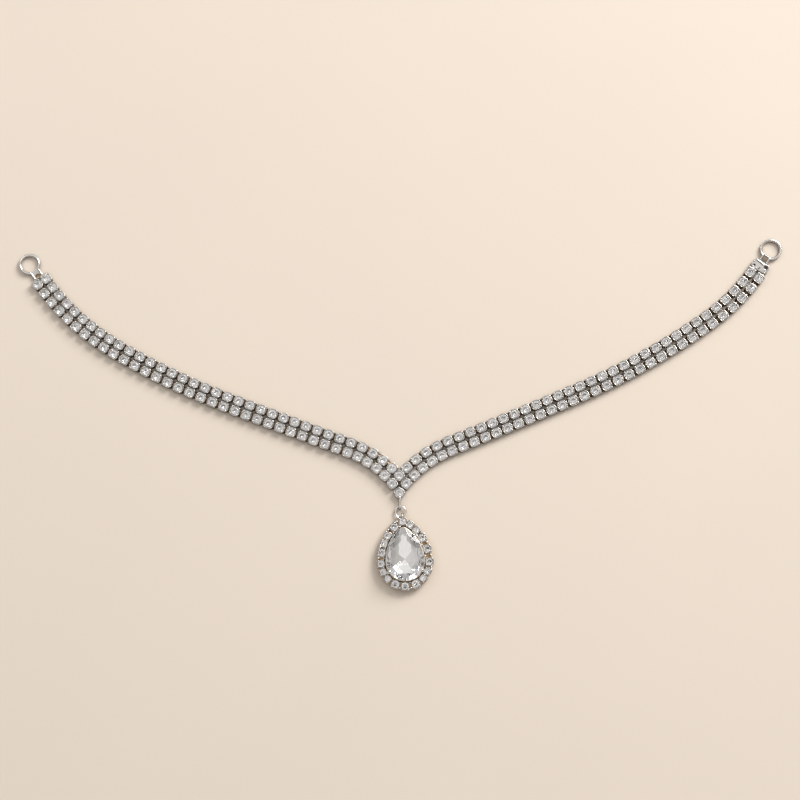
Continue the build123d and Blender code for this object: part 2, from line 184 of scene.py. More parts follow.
# ---- Where the wires of the V and of the drop hook into each other
LINKAGE_MID_Z = 0.87 * MM
STAPLE_HALF_HEIGHT = 0.60 * MM
EYE_WIRE, EYELET_WIRE, JUMP_WIRE = 0.25 * MM, 0.20 * MM, 0.25 * MM    # half the wire's thickness
EYE_X, EYE_BEND_Y = 0.15 * MM, -4.18 * MM
EYE_ROOT = 0.30 * MM            # how far the eye starts inside the wall of the V's lower cup
EYELET_ROOT_Y, EYELET_BEND_Y = 12.77 * MM, 13.78 * MM
JUMP_CENTRE, JUMP_RADIUS = Vector((0.36 * MM, -5.44 * MM, 0)), 1.475 * MM
JUMP_START, JUMP_ROUND = 238.0, 292.0            # degrees: where it starts, how far it goes
LAP_RADIUS, LAP_ARC = 2.30 * MM, 62.0            # the end that is lapped, in degrees
# The solder along the eye's upper run: how far out, half its width and half its height
EYE_SOLDER = ((0.00 * MM, 0.40 * MM, 0.36 * MM), (0.50 * MM, 0.38 * MM, 0.36 * MM),
              (1.00 * MM, 0.34 * MM, 0.36 * MM), (1.45 * MM, 0.27 * MM, 0.34 * MM))
SOLDER_SINK = 0.12 * MM         # below the middle of the upper run

# ---- Cut of the pear stone: where its main facets face in degrees, and for those of the crown
# how far the table's edge is in millimetres; then slopes against those of the main facets
CROWN_FACETS = ((-65, 2.5), (-10, 2.6), (28, 3.4), (55, 5.0),
                (125, 5.0), (152, 3.4), (190, 2.6), (245, 2.5))
BACK_FACETS = (-80, -35, 7, 49, 125, 185, 238)
CROWN_LIFT, BACK_DIP = 0.12, 0.05                # millimetres from the girdle's edges
BREAK_PLACES = (0.27, 0.73)                      # of the way from a main facet to the next
BREAK_STEEPNESS, BACK_BREAK_STEEPNESS = 1.35, 1.12
STAR_REACH, STAR_SLOPE = 0.95, 0.33
STAR_DROP = 0.75                # most of the crown's height that a star facet may fall by
FOIL_TURN = 0.2                 # faces whose normals fall by more than this are foiled

# ---- The lamps: where each hangs in degrees, how far off, and the side of its soft square
Lamp = namedtuple("Lamp", "azimuth elevation far side tint", defaults=((1.0, 1.0, 1.0),))
LAMPS = {
    "key": Lamp(48, 34, 1.5, 0.70, (1.0, 0.98, 0.95)),
    "upper": Lamp(90, 50, 1.1, 0.90),
    "over": Lamp(-90, 76, 0.9, 0.70),
    "left": Lamp(180, 52, 0.9, 0.60),
    "window": Lamp(140, 40, 0.9, 0.22),
}
# The surroundings, dimmest up to one height in degrees and brightest from another
HORIZON_TOP, CEILING_EDGE = 18, 62
SURROUNDINGS_TINT = (1.0, 0.96, 0.91, 1.0)
FLOOR_HALF, FLOOR_Z = 1.5, -0.01 * MM            # metres
CAMERA_TARGET = Vector((-0.15 * MM, 3.80 * MM, 0))
CAMERA_LENS, CAMERA_SENSOR = 85, 36              # millimetres of the camera's own
CAMERA_NEAR = 0.01


# ------------------------------------------------------------------ settings

def length(name, description, millimetres):
    return bpy.props.FloatProperty(
        name=name, description=description, default=millimetres * MM, min=0.0,
        precision=5, subtype="DISTANCE", unit="LENGTH")


def angle(name, description, in_degrees):
    return bpy.props.FloatProperty(
        name=name, description=description, default=radians(in_degrees),
        subtype="ANGLE", unit="ROTATION")


def share(name, description, value, most=1.0):
    return bpy.props.FloatProperty(
        name=name, description=description, default=value, min=0.0, max=most, subtype="FACTOR")


def colour(name, description, value):
    return bpy.props.FloatVectorProperty(
        name=name, description=description, default=value, size=3, min=0.0, max=1.0,
        subtype="COLOR")


class RowSettings(bpy.types.PropertyGroup):
    cup_length: length("Cup half length", "Half a cup's outer length along the row", 1.52)
    cup_width: length("Cup half width", "Half a cup's outer width across the row", 1.46)
    foot_radius: length("Foot half width", "Half the width of the foot below a cup", 1.42)
    flare_top: length("Flare top", "Height at which the foot has widened to the wall", 0.20)
    rim: length("Rim height", "Height of the wall's bright rim", 1.60)
    prong_radius: length("Prong radius", "Half the thickness of a prong", 0.24)
    stone_radius: length("Stone radius", "Radius of a round stone's girdle", 1.20)
    stone_top: length("Stone top", "Height of a stone's flat table", 2.26)
    # The links are real, but drawn this wide so that, lying wholly in the cups' painted shade,
    # they darken most of the gap between two cups as shade would
    link_width: length("Link width", "Width of the bar between two cups", 2.1)
    stone_tilt: angle("Stone tilt", "How far a stone may lean in its cup", 3.0)
    seed: bpy.props.IntProperty(
        name="Seed", description="Chooses how each stone lies in its cup", default=7, min=0)


class DropSettings(bpy.types.PropertyGroup):
    side_radius: length("Stone half width", "Half the width of the pear stone", 5.65)
    tip_height: length("Stone tip height", "From the middle of the round end to the tip", 10.05)
    tip_radius: length("Stone tip radius", "Rounding of the pear stone's tip", 1.30)
    girdle_bottom: length("Girdle bottom", "Lower edge of the pear stone's girdle", 3.80)
    girdle_top: length("Girdle top", "Upper edge of the pear stone's girdle", 4.00)
    table_height: length("Table height", "Height of the pear stone's flat table", 5.0)
    culet_y: length("Culet place", "Place of the lowest point along the stone", 0.70)
    culet_height: length("Culet height", "Height of the stone's lowest point", 2.78)
    halo_cup_radius: length("Halo cup radius", "Half width of a full halo cup", 1.34)
    halo_stone_radius: length("Halo stone radius", "Radius of a halo stone's girdle", 1.13)
    bead_radius: length("Bead radius", "Radius of a bead between two halo cups", 0.36)
    plate_margin: length("Plate margin", "How far the back plate reaches past the stone", 2.20)
    claw_radius: length("Claw radius", "Half the thickness of a claw", 0.45)


class FinishSettings(bpy.types.PropertyGroup):
    metal: colour("Plating", "Colour of the bright plating", (0.80, 0.785, 0.76))
    wire: colour("Wire", "Colour of the drawn wires and rings", (0.93, 0.92, 0.90))
    # Painted shade: the dark brown that most of the plating is darkened to low down, standing in
    # for the shade deep between the cups and low on the wires, rings, plates, bezel and end bar
    recess: colour("Recess", "Colour of the plating deep between the cups", (0.13, 0.088, 0.056))
    # Warm painted shade: the golden brown that the drop's plating is darkened to below its cups'
    # rims; the back plate and the leaf under the left loop lie wholly in it
    gilded: colour("Gilded recess", "Colour of the drop's plate and walls", (0.42, 0.28, 0.15))
    satin: colour("Satin plating", "Colour of the brushed plates", (0.62, 0.60, 0.57))
    bezel: colour("Bezel", "Colour of the wall round the pear stone", (0.80, 0.72, 0.60))
    web: colour("Browned plating", "Colour of the sunken strip of the right loop",
                (0.22, 0.18, 0.14))
    bar: colour("End bar", "Colour of the bar across the right end", (0.54, 0.52, 0.50))
    gloss: share("Plating roughness", "How dull the plating is", 0.21)
    crystal: colour("Crystal", "Colour of the clear glass", (0.995, 0.995, 0.99))
    foil: colour("Foil", "Colour of the mirror behind a stone", (0.93, 0.93, 0.94))


class StageSettings(bpy.types.PropertyGroup):
    floor: colour("Floor", "Colour of the plain floor", (0.78, 0.69, 0.60))
    key: share("Key light", "Brightness of the soft light from the upper right", 14.5, 50.0)
    upper: share("Upper light", "Brightness of the wide light beyond the jewel", 0.38, 50.0)
    over: share("Overhead light", "Brightness of the wide light above the jewel", 0.34, 50.0)
    left: share("Left light", "Brightness of the light from the left", 0.14, 50.0)
    window: share("Window light", "Brightness of the small light from the upper left", 4.0, 50.0)
    sky: share("Ceiling", "Brightness of the surroundings overhead", 0.54)
    horizon: share("Horizon", "Brightness of the surroundings near the floor", 0.20)
    elevation: angle("Camera elevation", "Height of the camera above the floor", 80.0)
    distance: length("Camera distance", "From the camera to the middle of its view", 566.7)


# ------------------------------------------------------------------ layout

def step_on(spot, far, turn):
    """The spot reached from another along an arc of this length and turn."""
    half = radians(turn / 2)
    chord = far * sin(half) / half
    way = radians(spot.heading) + half
    return Spot(spot.x + chord * cos(way), spot.y + chord * sin(way), spot.heading + turn)


def go(spot, ahead, aside=0.0):
    """A spot moved straight ahead and to its own left."""
    way = radians(spot.heading)
    return Spot(spot.x + ahead * cos(way) - aside * sin(way),
                spot.y + ahead * sin(way) + aside * cos(way), spot.heading)


def turned(spot, turn):
    """A spot with its heading turned by this many degrees."""
    return Spot(spot.x, spot.y, spot.heading + turn)


def mirrored(spot):
    """A spot of a right arm, on the left."""
    return Spot(-spot.x, spot.y, 180 - spot.heading)


def placed(spot):
    """A spot of the band's own layout, in the frame."""
    return Spot(APEX.x + spot.x, APEX.y + spot.y, spot.heading)


def matrix(spot):
    """Places what is drawn along +X from the origin at a spot."""
    return Matrix.Translation((spot.x, spot.y, 0)) @ Matrix.Rotation(radians(spot.heading), 4, "Z")


def arm_columns(bends):
    """The column spots of a right arm, from the V outwards."""
    columns = [ARM_START]
    for bend in bends:
        start = columns[-1]
        for i in range(1, bend.columns + 1):
            columns.append(step_on(start, i * bend.pitch, i * bend.turn / bend.columns))
    return columns


def row_spots():
    """The cups of each of the four rows, by the frame's node."""
    half = ROW_SPACING / 2
    right, left = arm_columns(RIGHT_BENDS), arm_columns(LEFT_BENDS)
    rows = {
        "right_lower_row": [go(spot, 0, -half) for spot in right],
        "right_upper_row": [go(spot, 0, half) for spot in right[1:]],
        "left_lower_row": [mirrored(go(spot, 0, -half)) for spot in left],
        "left_upper_row": [mirrored(go(spot, 0, half)) for spot in left[1:]],
    }
    return {node: [placed(spot) for spot in spots] for node, spots in rows.items()}


def right_bar_spot():
    """The middle of the bar across the right arm's end, heading out to the ring."""
    return placed(go(turned(arm_columns(RIGHT_BENDS)[-1], BAR_TURN), BAR_REACH))


Pear = namedtuple("Pear", "side_radius tip_height tip_radius")


def pear_shape(drop, margin=0.0):
    """The stone's outline, moved out by a margin all round."""
    return Pear(drop.side_radius + margin, drop.tip_height + margin, drop.tip_radius + margin)


def side_arc(pear):
    """The side arc's radius, and the direction in degrees where it meets the tip."""
    rise = pear.tip_height - pear.tip_radius
    radius = (pear.side_radius**2 + rise**2 - pear.tip_radius**2) / (
        2 * (pear.side_radius - pear.tip_radius))
    return radius, degrees(atan2(rise, radius - pear.side_radius))


def pear_point(pear, way):
    """The point of the outline that faces this direction in degrees."""
    radius, turn = side_arc(pear)
    way = way % 360
    out = Vector((cos(radians(way)), sin(radians(way))))
    if way >= 180:
        return out * pear.side_radius
    if turn <= way <= 180 - turn:
        return Vector((0, pear.tip_height - pear.tip_radius)) + out * pear.tip_radius
    side = 1 if way < 90 else -1
    return Vector((side * (pear.side_radius - radius), 0)) + out * radius


def pear_facing(pear, along):
    """The direction in degrees that the outline faces at this share of its length, from the
    tip round by the left side."""
    radius, turn = side_arc(pear)
    tip, side, base = pear.tip_radius, radius, pear.side_radius
    spans = ((90, 180 - turn, tip), (180 - turn, 180, side), (180, 360, base),
             (360, 360 + turn, side), (360 + turn, 450, tip))
    left = (along % 1) * sum((end - start) * bow for start, end, bow in spans)
    for start, end, bow in spans:
        if left <= (end - start) * bow:
            return start + left / bow
        left -= (end - start) * bow
    return 450.0


def pear_ways(pear, steps):
    """The directions faced by points round the outline, closer together at the tip."""
    even = [pear_facing(pear, i / steps) for i in range(steps)]
    tip = [90 + side * step * 9 for side in (-1, 1) for step in range(1, 4)]
    return sorted(way % 360 for way in even + tip)


def pear_outline(pear, ways):
    return [pear_point(pear, way) for way in ways]


# ------------------------------------------------------------------ meshes

def new_piece(name, data, materials=()):
    """An object at the origin, with its place in its mesh; lamps and the camera start there."""
    for material in materials:
        data.materials.append(material)
    piece = bpy.data.objects.new(name, data)
    bpy.context.scene.collection.objects.link(piece)
    return piece


def mesh_from(bm, name, smooth_below=None):
    """A finished mesh; edges sharper than the angle, in degrees, stay crisp."""
    bmesh.ops.remove_doubles(bm, verts=bm.verts, dist=0.0005 * MM)
    bmesh.ops.recalc_face_normals(bm, faces=bm.faces)
    mesh = bpy.data.meshes.new(name)
    bm.to_mesh(mesh)
    bm.free()
    mesh.polygons.foreach_set("use_smooth", [smooth_below is not None] * len(mesh.polygons))
    if smooth_below is not None:
        mesh.set_sharp_from_angle(angle=radians(smooth_below))
    return mesh


def around(way, squareness):
    """A point in this direction on a rounded square of half width 1; 2 gives a circle."""
    x, y = cos(way), sin(way)
    reach = (abs(x)**squareness + abs(y)**squareness)**(-1 / squareness)
    return Vector((x * reach, y * reach, 0))


def lathe(bm, profile, segments, place=Matrix()):
    """Turns a profile of (half width, height, squareness) round Z; a width of 0 is a pole."""
    rings = []
    for half_width, height, squareness in profile:
        count = segments if half_width > 0 else 1
        rings.append([
            bm.verts.new(place @ (around(tau * i / segments, squareness) * half_width
                                  + UP * height))
            for i in range(count)])
    for low, high in zip(rings, rings[1:]):
        for i in range(segments):
            j = (i + 1) % segments
            corners = (low[i % len(low)], low[j % len(low)],
                       high[j % len(high)], high[i % len(high)])
            bm.faces.new(dict.fromkeys(corners))


def skin(bm, rings):
    """Joins each closed ring of points to the next by faces."""
    for low, high in zip(rings, rings[1:]):
        for k in range(len(low)):
            bm.faces.new((low[k - 1], low[k], high[k], high[k - 1]))


def wire(bm, path, normal, widths, heights, sides=12, place=Matrix(), closed=False,
         sunk_start=False):
    """Sweeps an oval along a path that lies in the plane of this normal; open ends are domed,
    but for a start that is sunk in another piece. Widths and heights are half sizes, one for
    the whole path or one for each of its points."""
    count = len(path)
    widths = widths if isinstance(widths, (list, tuple)) else [widths] * count
    heights = heights if isinstance(heights, (list, tuple)) else [heights] * count

    def ring(centre, tangent, wide, high):
        across = normal.cross(tangent).normalized()
        return [bm.verts.new(place @ (centre + across * (wide * cos(tau * k / sides))
                                      + normal * (high * sin(tau * k / sides))))
                for k in range(sides)]

    tangents = []
    for i in range(count):
        before = path[i - 1] if i or closed else path[i]
        after = path[(i + 1) % count] if i < count - 1 or closed else path[i]
        tangents.append((after - before).normalized())
    rings = [ring(*station) for station in zip(path, tangents, widths, heights)]
    if closed:
        rings.append(rings[0])
    else:
        if sunk_start:
            bm.faces.new(rings[0])
        for end, way in ((0, -1), (-1, 1))[sunk_start:]:
            dome = ring(path[end] + tangents[end] * (way * widths[end] * DOME), tangents[end],
                        widths[end] * DOME, heights[end] * DOME)
            pole = bm.verts.new(place @ (path[end] + tangents[end] * (way * widths[end])))
            rings.insert(0 if way < 0 else len(rings), dome)
            for k in range(sides):
                bm.faces.new((dome[k], dome[(k + 1) % sides], pole))
    for low, high in zip(rings, rings[1:]):
        for k in range(sides):
            m = (k + 1) % sides
            bm.faces.new((low[k], low[m], high[m], high[k]))


def arc(centre, radius, start, sweep, steps):
    """Points on an arc in the XY plane, angles in degrees."""
    return [centre + Vector((radius * cos(radians(start + sweep * i / steps)),
                             radius * sin(radians(start + sweep * i / steps)), 0))
            for i in range(steps + 1)]


def plate(bm, outline, bottom, top, bevel, place=Matrix()):
    """A flat plate of this outline with its edges rounded off."""
    part = bmesh.new()
    face = part.faces.new([part.verts.new((p[0], p[1], bottom)) for p in outline])
    raised = bmesh.ops.extrude_face_region(part, geom=[face])["geom"]
    bmesh.ops.translate(part, vec=(0, 0, top - bottom),
                        verts=[v for v in raised if isinstance(v, bmesh.types.BMVert)])
    bmesh.ops.recalc_face_normals(part, faces=part.faces)
    edges = [e for e in part.edges if abs(e.verts[0].co.z - e.verts[1].co.z) < bevel]
    bmesh.ops.bevel(part, geom=edges, offset=bevel, segments=2, profile=0.7, affect="EDGES")
    bmesh.ops.transform(part, matrix=place, verts=part.verts)
    scratch = bpy.data.meshes.new("scratch")
    part.to_mesh(scratch)
    part.free()
    bm.from_mesh(scratch)
    bpy.data.meshes.remove(scratch)


CupSizes = namedtuple(
    "CupSizes", "foot half_length half_width foot_z flare_top rim seat prong")


def claw_cup(sizes):
    """One claw cup: a thin square wall on its foot, a round seat inside it, and four prongs
    folded over its corners."""
    bm = bmesh.new()
    wall, round_off, half = CUP_WALL, CUP_ROUND_OFF, sizes.half_width
    stretch = sizes.half_length / half
    # foot, wall a hair wider than its rim, rim rounded outside, then the seat and its floor
    lathe(bm, (
        (0, sizes.foot_z, BLOCK),
        (sizes.foot, sizes.foot_z, BLOCK),
        (half * 1.02, sizes.flare_top, BLOCK),
        (half * 1.01, (sizes.flare_top + sizes.rim) / 2, BLOCK),
        (half, sizes.rim - round_off, SQUARE),
        (half - round_off, sizes.rim, SQUARE),
        (half - wall, sizes.rim, SQUARE),
        (half - wall * 1.2, sizes.rim - wall * 0.6, SQUARE),
        (sizes.seat, sizes.rim - 1.4 * wall, ROUND),
        (0, sizes.foot_z + 2 * wall, ROUND)), 24)
    bmesh.ops.scale(bm, vec=(stretch, 1, 1), verts=bm.verts)
    corner = around(tau / 8, SQUARE) * half
    thick = sizes.prong
    path = [Vector((corner.length * reach, 0, sizes.rim + thick * rise))
            for reach, rise, _, _ in PRONG]
    widths = [thick * wide for _, _, wide, _ in PRONG]
    heights = [thick * high for *_, high in PRONG]
    for k in range(4):
        side = 1 if k in (0, 3) else -1
        place = matrix(Spot(side * corner.x * (stretch - 1), 0, 45 + 90 * k))
        wire(bm, path, ASIDE, widths, heights, sides=8, place=place, sunk_start=True)
    return mesh_from(bm, "claw_cup", smooth_below=50)


def round_stone(radius, depth, crown, stretch=1.0):
    """A brilliant of 8 and 16 facets over a pointed, foiled back; its girdle is at height 0."""
    bm = bmesh.new()

    def ring(count, reach, height, phase=0.0):
        spots = [around(tau * (i + phase) / count, CUSHION) * reach for i in range(count)]
        return [bm.verts.new((spot.x * stretch, spot.y, height)) for spot in spots]

    table = ring(8, radius * TABLE_REACH, crown, 0.5)
    middle = ring(8, radius * CROWN_REACH, crown * CROWN_RISE)
    edge = ring(16, radius, STONE_GIRDLE / 2)
    edge_below = ring(16, radius, -STONE_GIRDLE / 2)
    back = ring(8, radius * BACK_REACH, -depth * BACK_DROP)
    culet = bm.verts.new((0, 0, -depth))
    bm.faces.new(table)
    for k in range(8):
        after = (k + 1) % 8
        bm.faces.new((table[k - 1], middle[k], table[k]))
        bm.faces.new((table[k], middle[k], edge[2 * k + 1], middle[after]))
        bm.faces.new((middle[k], edge[2 * k], edge[2 * k + 1]))
        bm.faces.new((middle[k], edge[2 * k - 1], edge[2 * k]))
    for j in range(16):
        bm.faces.new((edge[j - 1], edge_below[j - 1], edge_below[j], edge[j]))
    clear = len(bm.faces)
    for k in range(8):
        after = (k + 1) % 8
        bm.faces.new((culet, back[after], edge_below[2 * k + 1], back[k]))
        bm.faces.new((back[k], edge_below[2 * k + 1], edge_below[2 * k]))
        bm.faces.new((back[k], edge_below[2 * k], edge_below[2 * k - 1]))
    mesh = mesh_from(bm, "round_stone")
    foiled = mesh.attributes.new("foiled", "BOOLEAN", "FACE")
    foiled.data.foreach_set("value", [i >= clear for i in range(len(mesh.polygons))])
    return mesh


def cut(bm, normal, point):
    """Grinds away what lies beyond a plane, and leaves a flat facet there."""
    sliced = bmesh.ops.bisect_plane(
        bm, geom=bm.verts[:] + bm.edges[:] + bm.faces[:], dist=1e-5, plane_co=point,
        plane_no=normal, clear_outer=True)
    rim = [e for e in sliced["geom_cut"] if isinstance(e, bmesh.types.BMEdge)]
    if rim:
        bmesh.ops.contextual_create(bm, geom=rim)


def cut_pear(drop):
    """The pear stone, ground from a pear-shaped blank: large facets round a table and a pointed
    back, with smaller ones between them along the girdle."""
    pear = Pear(*(value / MM for value in pear_shape(drop)))
    low, high = drop.girdle_bottom / MM, drop.girdle_top / MM
    table, culet = drop.table_height / MM, Vector((0, drop.culet_y, drop.culet_height)) / MM
    bm = bmesh.new()
    outline = pear_outline(pear, pear_ways(pear, steps=84))
    rings = [[bm.verts.new((p.x, p.y, z)) for p in outline] for z in (culet.z, table)]
    bm.faces.new(reversed(rings[0]))
    bm.faces.new(rings[1])
    for i in range(len(outline)):
        bm.faces.new((rings[0][i - 1], rings[0][i], rings[1][i], rings[1][i - 1]))

    def grind(way, edge_height, inner, inner_height, steepness=1.0):
        """A facet that touches the girdle where it faces this way, and would reach the inner
        height at the inner distance from the middle of the round end."""
        edge = pear_point(pear, way).to_3d()
        out = Vector((cos(radians(way)), sin(radians(way)), 0))
        run = edge.dot(out) - inner
        rise = (inner_height - edge_height) * steepness
        edge.z = edge_height
        cut(bm, (out * abs(rise) + UP * run * (1 if rise > 0 else -1)).normalized(), edge)

    def between(facets, part):
        """The facets' own list, each moved this part of the way to the next."""
        after = facets[1:] + [(facets[0][0] + 360, *facets[0][1:])]
        return [[a + (b - a) * part for a, b in zip(*pair)] for pair in zip(facets, after)]

    crown = [list(facet) for facet in CROWN_FACETS]
    back = [[way, culet.y * sin(radians(way))] for way in BACK_FACETS]
    for way, inner in crown:
        grind(way, high + CROWN_LIFT, inner, table + CROWN_LIFT)
    for way, inner in back:
        grind(way, low - BACK_DIP, inner, culet.z)
    for part in BREAK_PLACES:
        for way, inner in between(crown, part):
            grind(way, high, inner, table, BREAK_STEEPNESS)
        for way, _ in between(back, part):
            grind(way, low, culet.y * sin(radians(way)), culet.z, BACK_BREAK_STEEPNESS)
    for (way, inner), (next_way, next_inner) in zip(crown, between(crown, 1.0)):
        turn = radians(next_way - way)
        along = (next_inner - inner * cos(turn)) / sin(turn)
        out = Vector((cos(radians(way) + turn / 2), sin(radians(way) + turn / 2), 0))
        corner = Matrix.Rotation(radians(way), 3, "Z") @ Vector((inner, along, 0))
        reach = corner.dot(out) * STAR_REACH
        room = pear_point(pear, way + degrees(turn) / 2).dot(out.xy) - reach
        slope = min(STAR_SLOPE, STAR_DROP * (table - high) / room)
        cut(bm, (out * slope + UP).normalized(), out * reach + UP * table)
    bmesh.ops.scale(bm, vec=(MM, MM, MM), verts=bm.verts)
    bmesh.ops.transform(bm, matrix=matrix(placed(DROP)), verts=bm.verts)
    mesh = mesh_from(bm, "pear_stone")
    mesh.polygons.foreach_set(
        "material_index", [1 if face.normal.z < -FOIL_TURN else 0 for face in mesh.polygons])
    return mesh


# ------------------------------------------------------------------ node trees

def feed(tree, socket, value):
    """Gives a socket another node's result, or a constant."""
    if isinstance(value, bpy.types.NodeSocket):
        tree.links.new(value, socket)
    else:
        socket.default_value = value


def add_node(tree, kind, inputs, **settings):
    """Adds a node, sets it up, and feeds its inputs by name or number."""
    node = tree.nodes.new(kind)
    for name, value in settings.items():
        setattr(node, name, value)
    for name, value in inputs.items():
        feed(tree, node.inputs[name], value)
    return node


class Tree:
    """A Geometry Nodes tree with named inputs, built node by node."""

    def __init__(self, name):
        self.group = bpy.data.node_groups.new(name, "GeometryNodeTree")
        self.group.is_modifier = True
        self.entry = self.group.nodes.new("NodeGroupInput")
        for way in ("INPUT", "OUTPUT"):
            self.group.interface.new_socket(
                "Geometry", in_out=way, socket_type="NodeSocketGeometry")

    def input(self, name, kind):
        """A new named input, as it enters the tree."""
        self.group.interface.new_socket(name, in_out="INPUT", socket_type="NodeSocket" + kind)
        return self.entry.outputs[name]

    def node(self, kind, inputs, **settings):
        """The first result of a new node."""
        return add_node(self.group, kind, inputs, **settings).outputs[0]

    def math(self, operation, a, b):
        return self.node("ShaderNodeMath", {0: a, 1: b}, operation=operation)

    def own(self, name):
        """The value of this name that each point carries."""
        return self.node("GeometryNodeInputNamedAttribute", {"Name": name}, data_type="FLOAT")

    def heading(self):
        """The rotation that each point's heading gives."""
        euler = self.node("ShaderNodeCombineXYZ", {"Z": self.own("heading")})
        return self.node("FunctionNodeEulerToRotation", {"Euler": euler})

    def size(self):
        """The scale that each point's size gives: across, but not in height."""
        return self.node("ShaderNodeCombineXYZ",
                         {"X": self.own("size"), "Y": self.own("size"), "Z": 1.0})

    def lifted(self, geometry, height):
        """The geometry moved up by this height."""
        offset = self.node("ShaderNodeCombineXYZ", {"Z": height})
        return self.node("GeometryNodeSetPosition", {"Geometry": geometry, "Offset": offset})

    def stand(self, piece, points, rotation):
        """A copy of the piece on each point, turned so and of the point's own size."""
        shape = self.node("GeometryNodeObjectInfo", {"Object": piece, "As Instance": True})
        return self.node("GeometryNodeInstanceOnPoints", {
            "Points": points, "Instance": shape.node.outputs["Geometry"], "Rotation": rotation,
            "Scale": self.size()})

    def close(self, geometry):
        """Ends the tree with this geometry."""
        exit_node = self.group.nodes.new("NodeGroupOutput")
        self.group.links.new(geometry, exit_node.inputs[0])
        return self.group


def cup_tree(name):
    """Stands a cup on each point, and joins each two along the thread by a flat link."""
    tree = Tree(name)
    points = tree.entry.outputs["Geometry"]
    cup = tree.input("Cup", "Object")
    radius, inset, width, height, middle = (tree.input(name, "Float") for name in (
        "Cup radius", "Link inset", "Link width", "Link height", "Link middle height"))
    material = tree.input("Material", "Material")

    cups = tree.stand(cup, points, tree.heading())
    ends = tree.node("GeometryNodeInputMeshEdgeVertices", {}).node
    span = tree.node("ShaderNodeVectorMath", {0: ends.outputs["Position 1"],
                                              1: ends.outputs["Position 2"]},
                     operation="DISTANCE").node.outputs["Value"]
    hidden = tree.math("MULTIPLY", tree.math("SUBTRACT", radius, inset), 2.0)
    kept = tree.math("DIVIDE", tree.math("SUBTRACT", span, hidden), span)
    apart = tree.node("GeometryNodeSplitEdges", {"Mesh": points})
    short = tree.node("GeometryNodeScaleElements", {"Geometry": apart, "Scale": kept},
                      domain="EDGE")
    runs = tree.node("GeometryNodeMeshToCurve", {"Mesh": tree.lifted(short, middle)})
    upright = tree.node("GeometryNodeSetCurveNormal", {"Curve": runs}, mode="Z_UP")
    section = tree.node("GeometryNodeCurvePrimitiveQuadrilateral",
                        {"Width": width, "Height": height})
    links = tree.node("GeometryNodeCurveToMesh", {
        "Curve": upright, "Profile Curve": section, "Fill Caps": True})

    both = tree.group.nodes.new("GeometryNodeJoinGeometry")
    for part in (cups, links):
        tree.group.links.new(part, both.inputs[0])
    real = tree.node("GeometryNodeRealizeInstances", {"Geometry": both.outputs[0]})
    return tree.close(tree.node("GeometryNodeSetMaterial",
                                {"Geometry": real, "Material": material}))


def stone_tree(name):
    """Sets a stone over each point, each turned and leaning a little its own way."""
    tree = Tree(name)
    points = tree.entry.outputs["Geometry"]
    stone = tree.input("Stone", "Object")
    height = tree.input("Girdle height", "Float")
    tilt = tree.input("Largest tilt", "Float")
    seed = tree.input("Seed", "Int")
    crystal = tree.input("Crystal", "Material")
    foil = tree.input("Foil", "Material")

    most = tree.node("ShaderNodeCombineXYZ", {"X": tilt, "Y": tilt, "Z": tilt})
    least = tree.node("ShaderNodeVectorMath", {0: most, "Scale": -1.0}, operation="SCALE")
    chance = tree.node("FunctionNodeRandomValue", {0: least, 1: most, "Seed": seed},
                       data_type="FLOAT_VECTOR")
    lean = tree.node("FunctionNodeEulerToRotation", {"Euler": chance})
    rotation = tree.node("FunctionNodeRotateRotation",
                         {"Rotation": tree.heading(), "Rotate By": lean},
                         rotation_space="LOCAL")
    stones = tree.stand(stone, tree.lifted(points, height), rotation)
    real = tree.node("GeometryNodeRealizeInstances", {"Geometry": stones})
    clear = tree.node("GeometryNodeSetMaterial", {"Geometry": real, "Material": crystal})
    foiled = tree.node("GeometryNodeInputNamedAttribute", {"Name": "foiled"},
                       data_type="BOOLEAN")
    return tree.close(tree.node("GeometryNodeSetMaterial", {
        "Geometry": clear, "Selection": foiled, "Material": foil}))


def thread_mesh(name, spots, sizes=None):
    """A thread of points through the spots, each with its heading. Spots that are given sizes
    stand on their own, with nothing running between them."""
    mesh = bpy.data.meshes.new(name)
    runs = [] if sizes else [(i, i + 1) for i in range(len(spots) - 1)]
    mesh.from_pydata([(spot.x, spot.y, 0) for spot in spots], runs, [])
    for label, values in (("heading", [radians(spot.heading) for spot in spots]),
                          ("size", sizes or [1.0] * len(spots))):
        mesh.attributes.new(label, "FLOAT", "POINT").data.foreach_set("value", values)
    return mesh


def tree_named(maker):
    """The tree that this function makes, made the first time that it is asked for."""
    name = maker.__name__
    return bpy.data.node_groups.get(name) or maker(name)


def grown(name, spots, maker, values, sizes=None):
    """Runs a tree over the spots and returns its result as a plain mesh object."""
    group = tree_named(maker)
    source = new_piece(name + "_thread", thread_mesh(name + "_thread", spots, sizes))
    modifier = source.modifiers.new("tree", "NODES")
    modifier.node_group = group
    named = {item.name: item.identifier for item in group.interface.items_tree
             if item.in_out == "INPUT"}
    for label, value in values.items():
        modifier[named[label]] = value
    graph = bpy.context.evaluated_depsgraph_get()
    mesh = bpy.data.meshes.new_from_object(
        source.evaluated_get(graph), preserve_all_data_layers=True, depsgraph=graph)
    mesh.name = name
    bpy.data.objects.remove(source)
    return new_piece(name, mesh)


# ------------------------------------------------------------------ materials

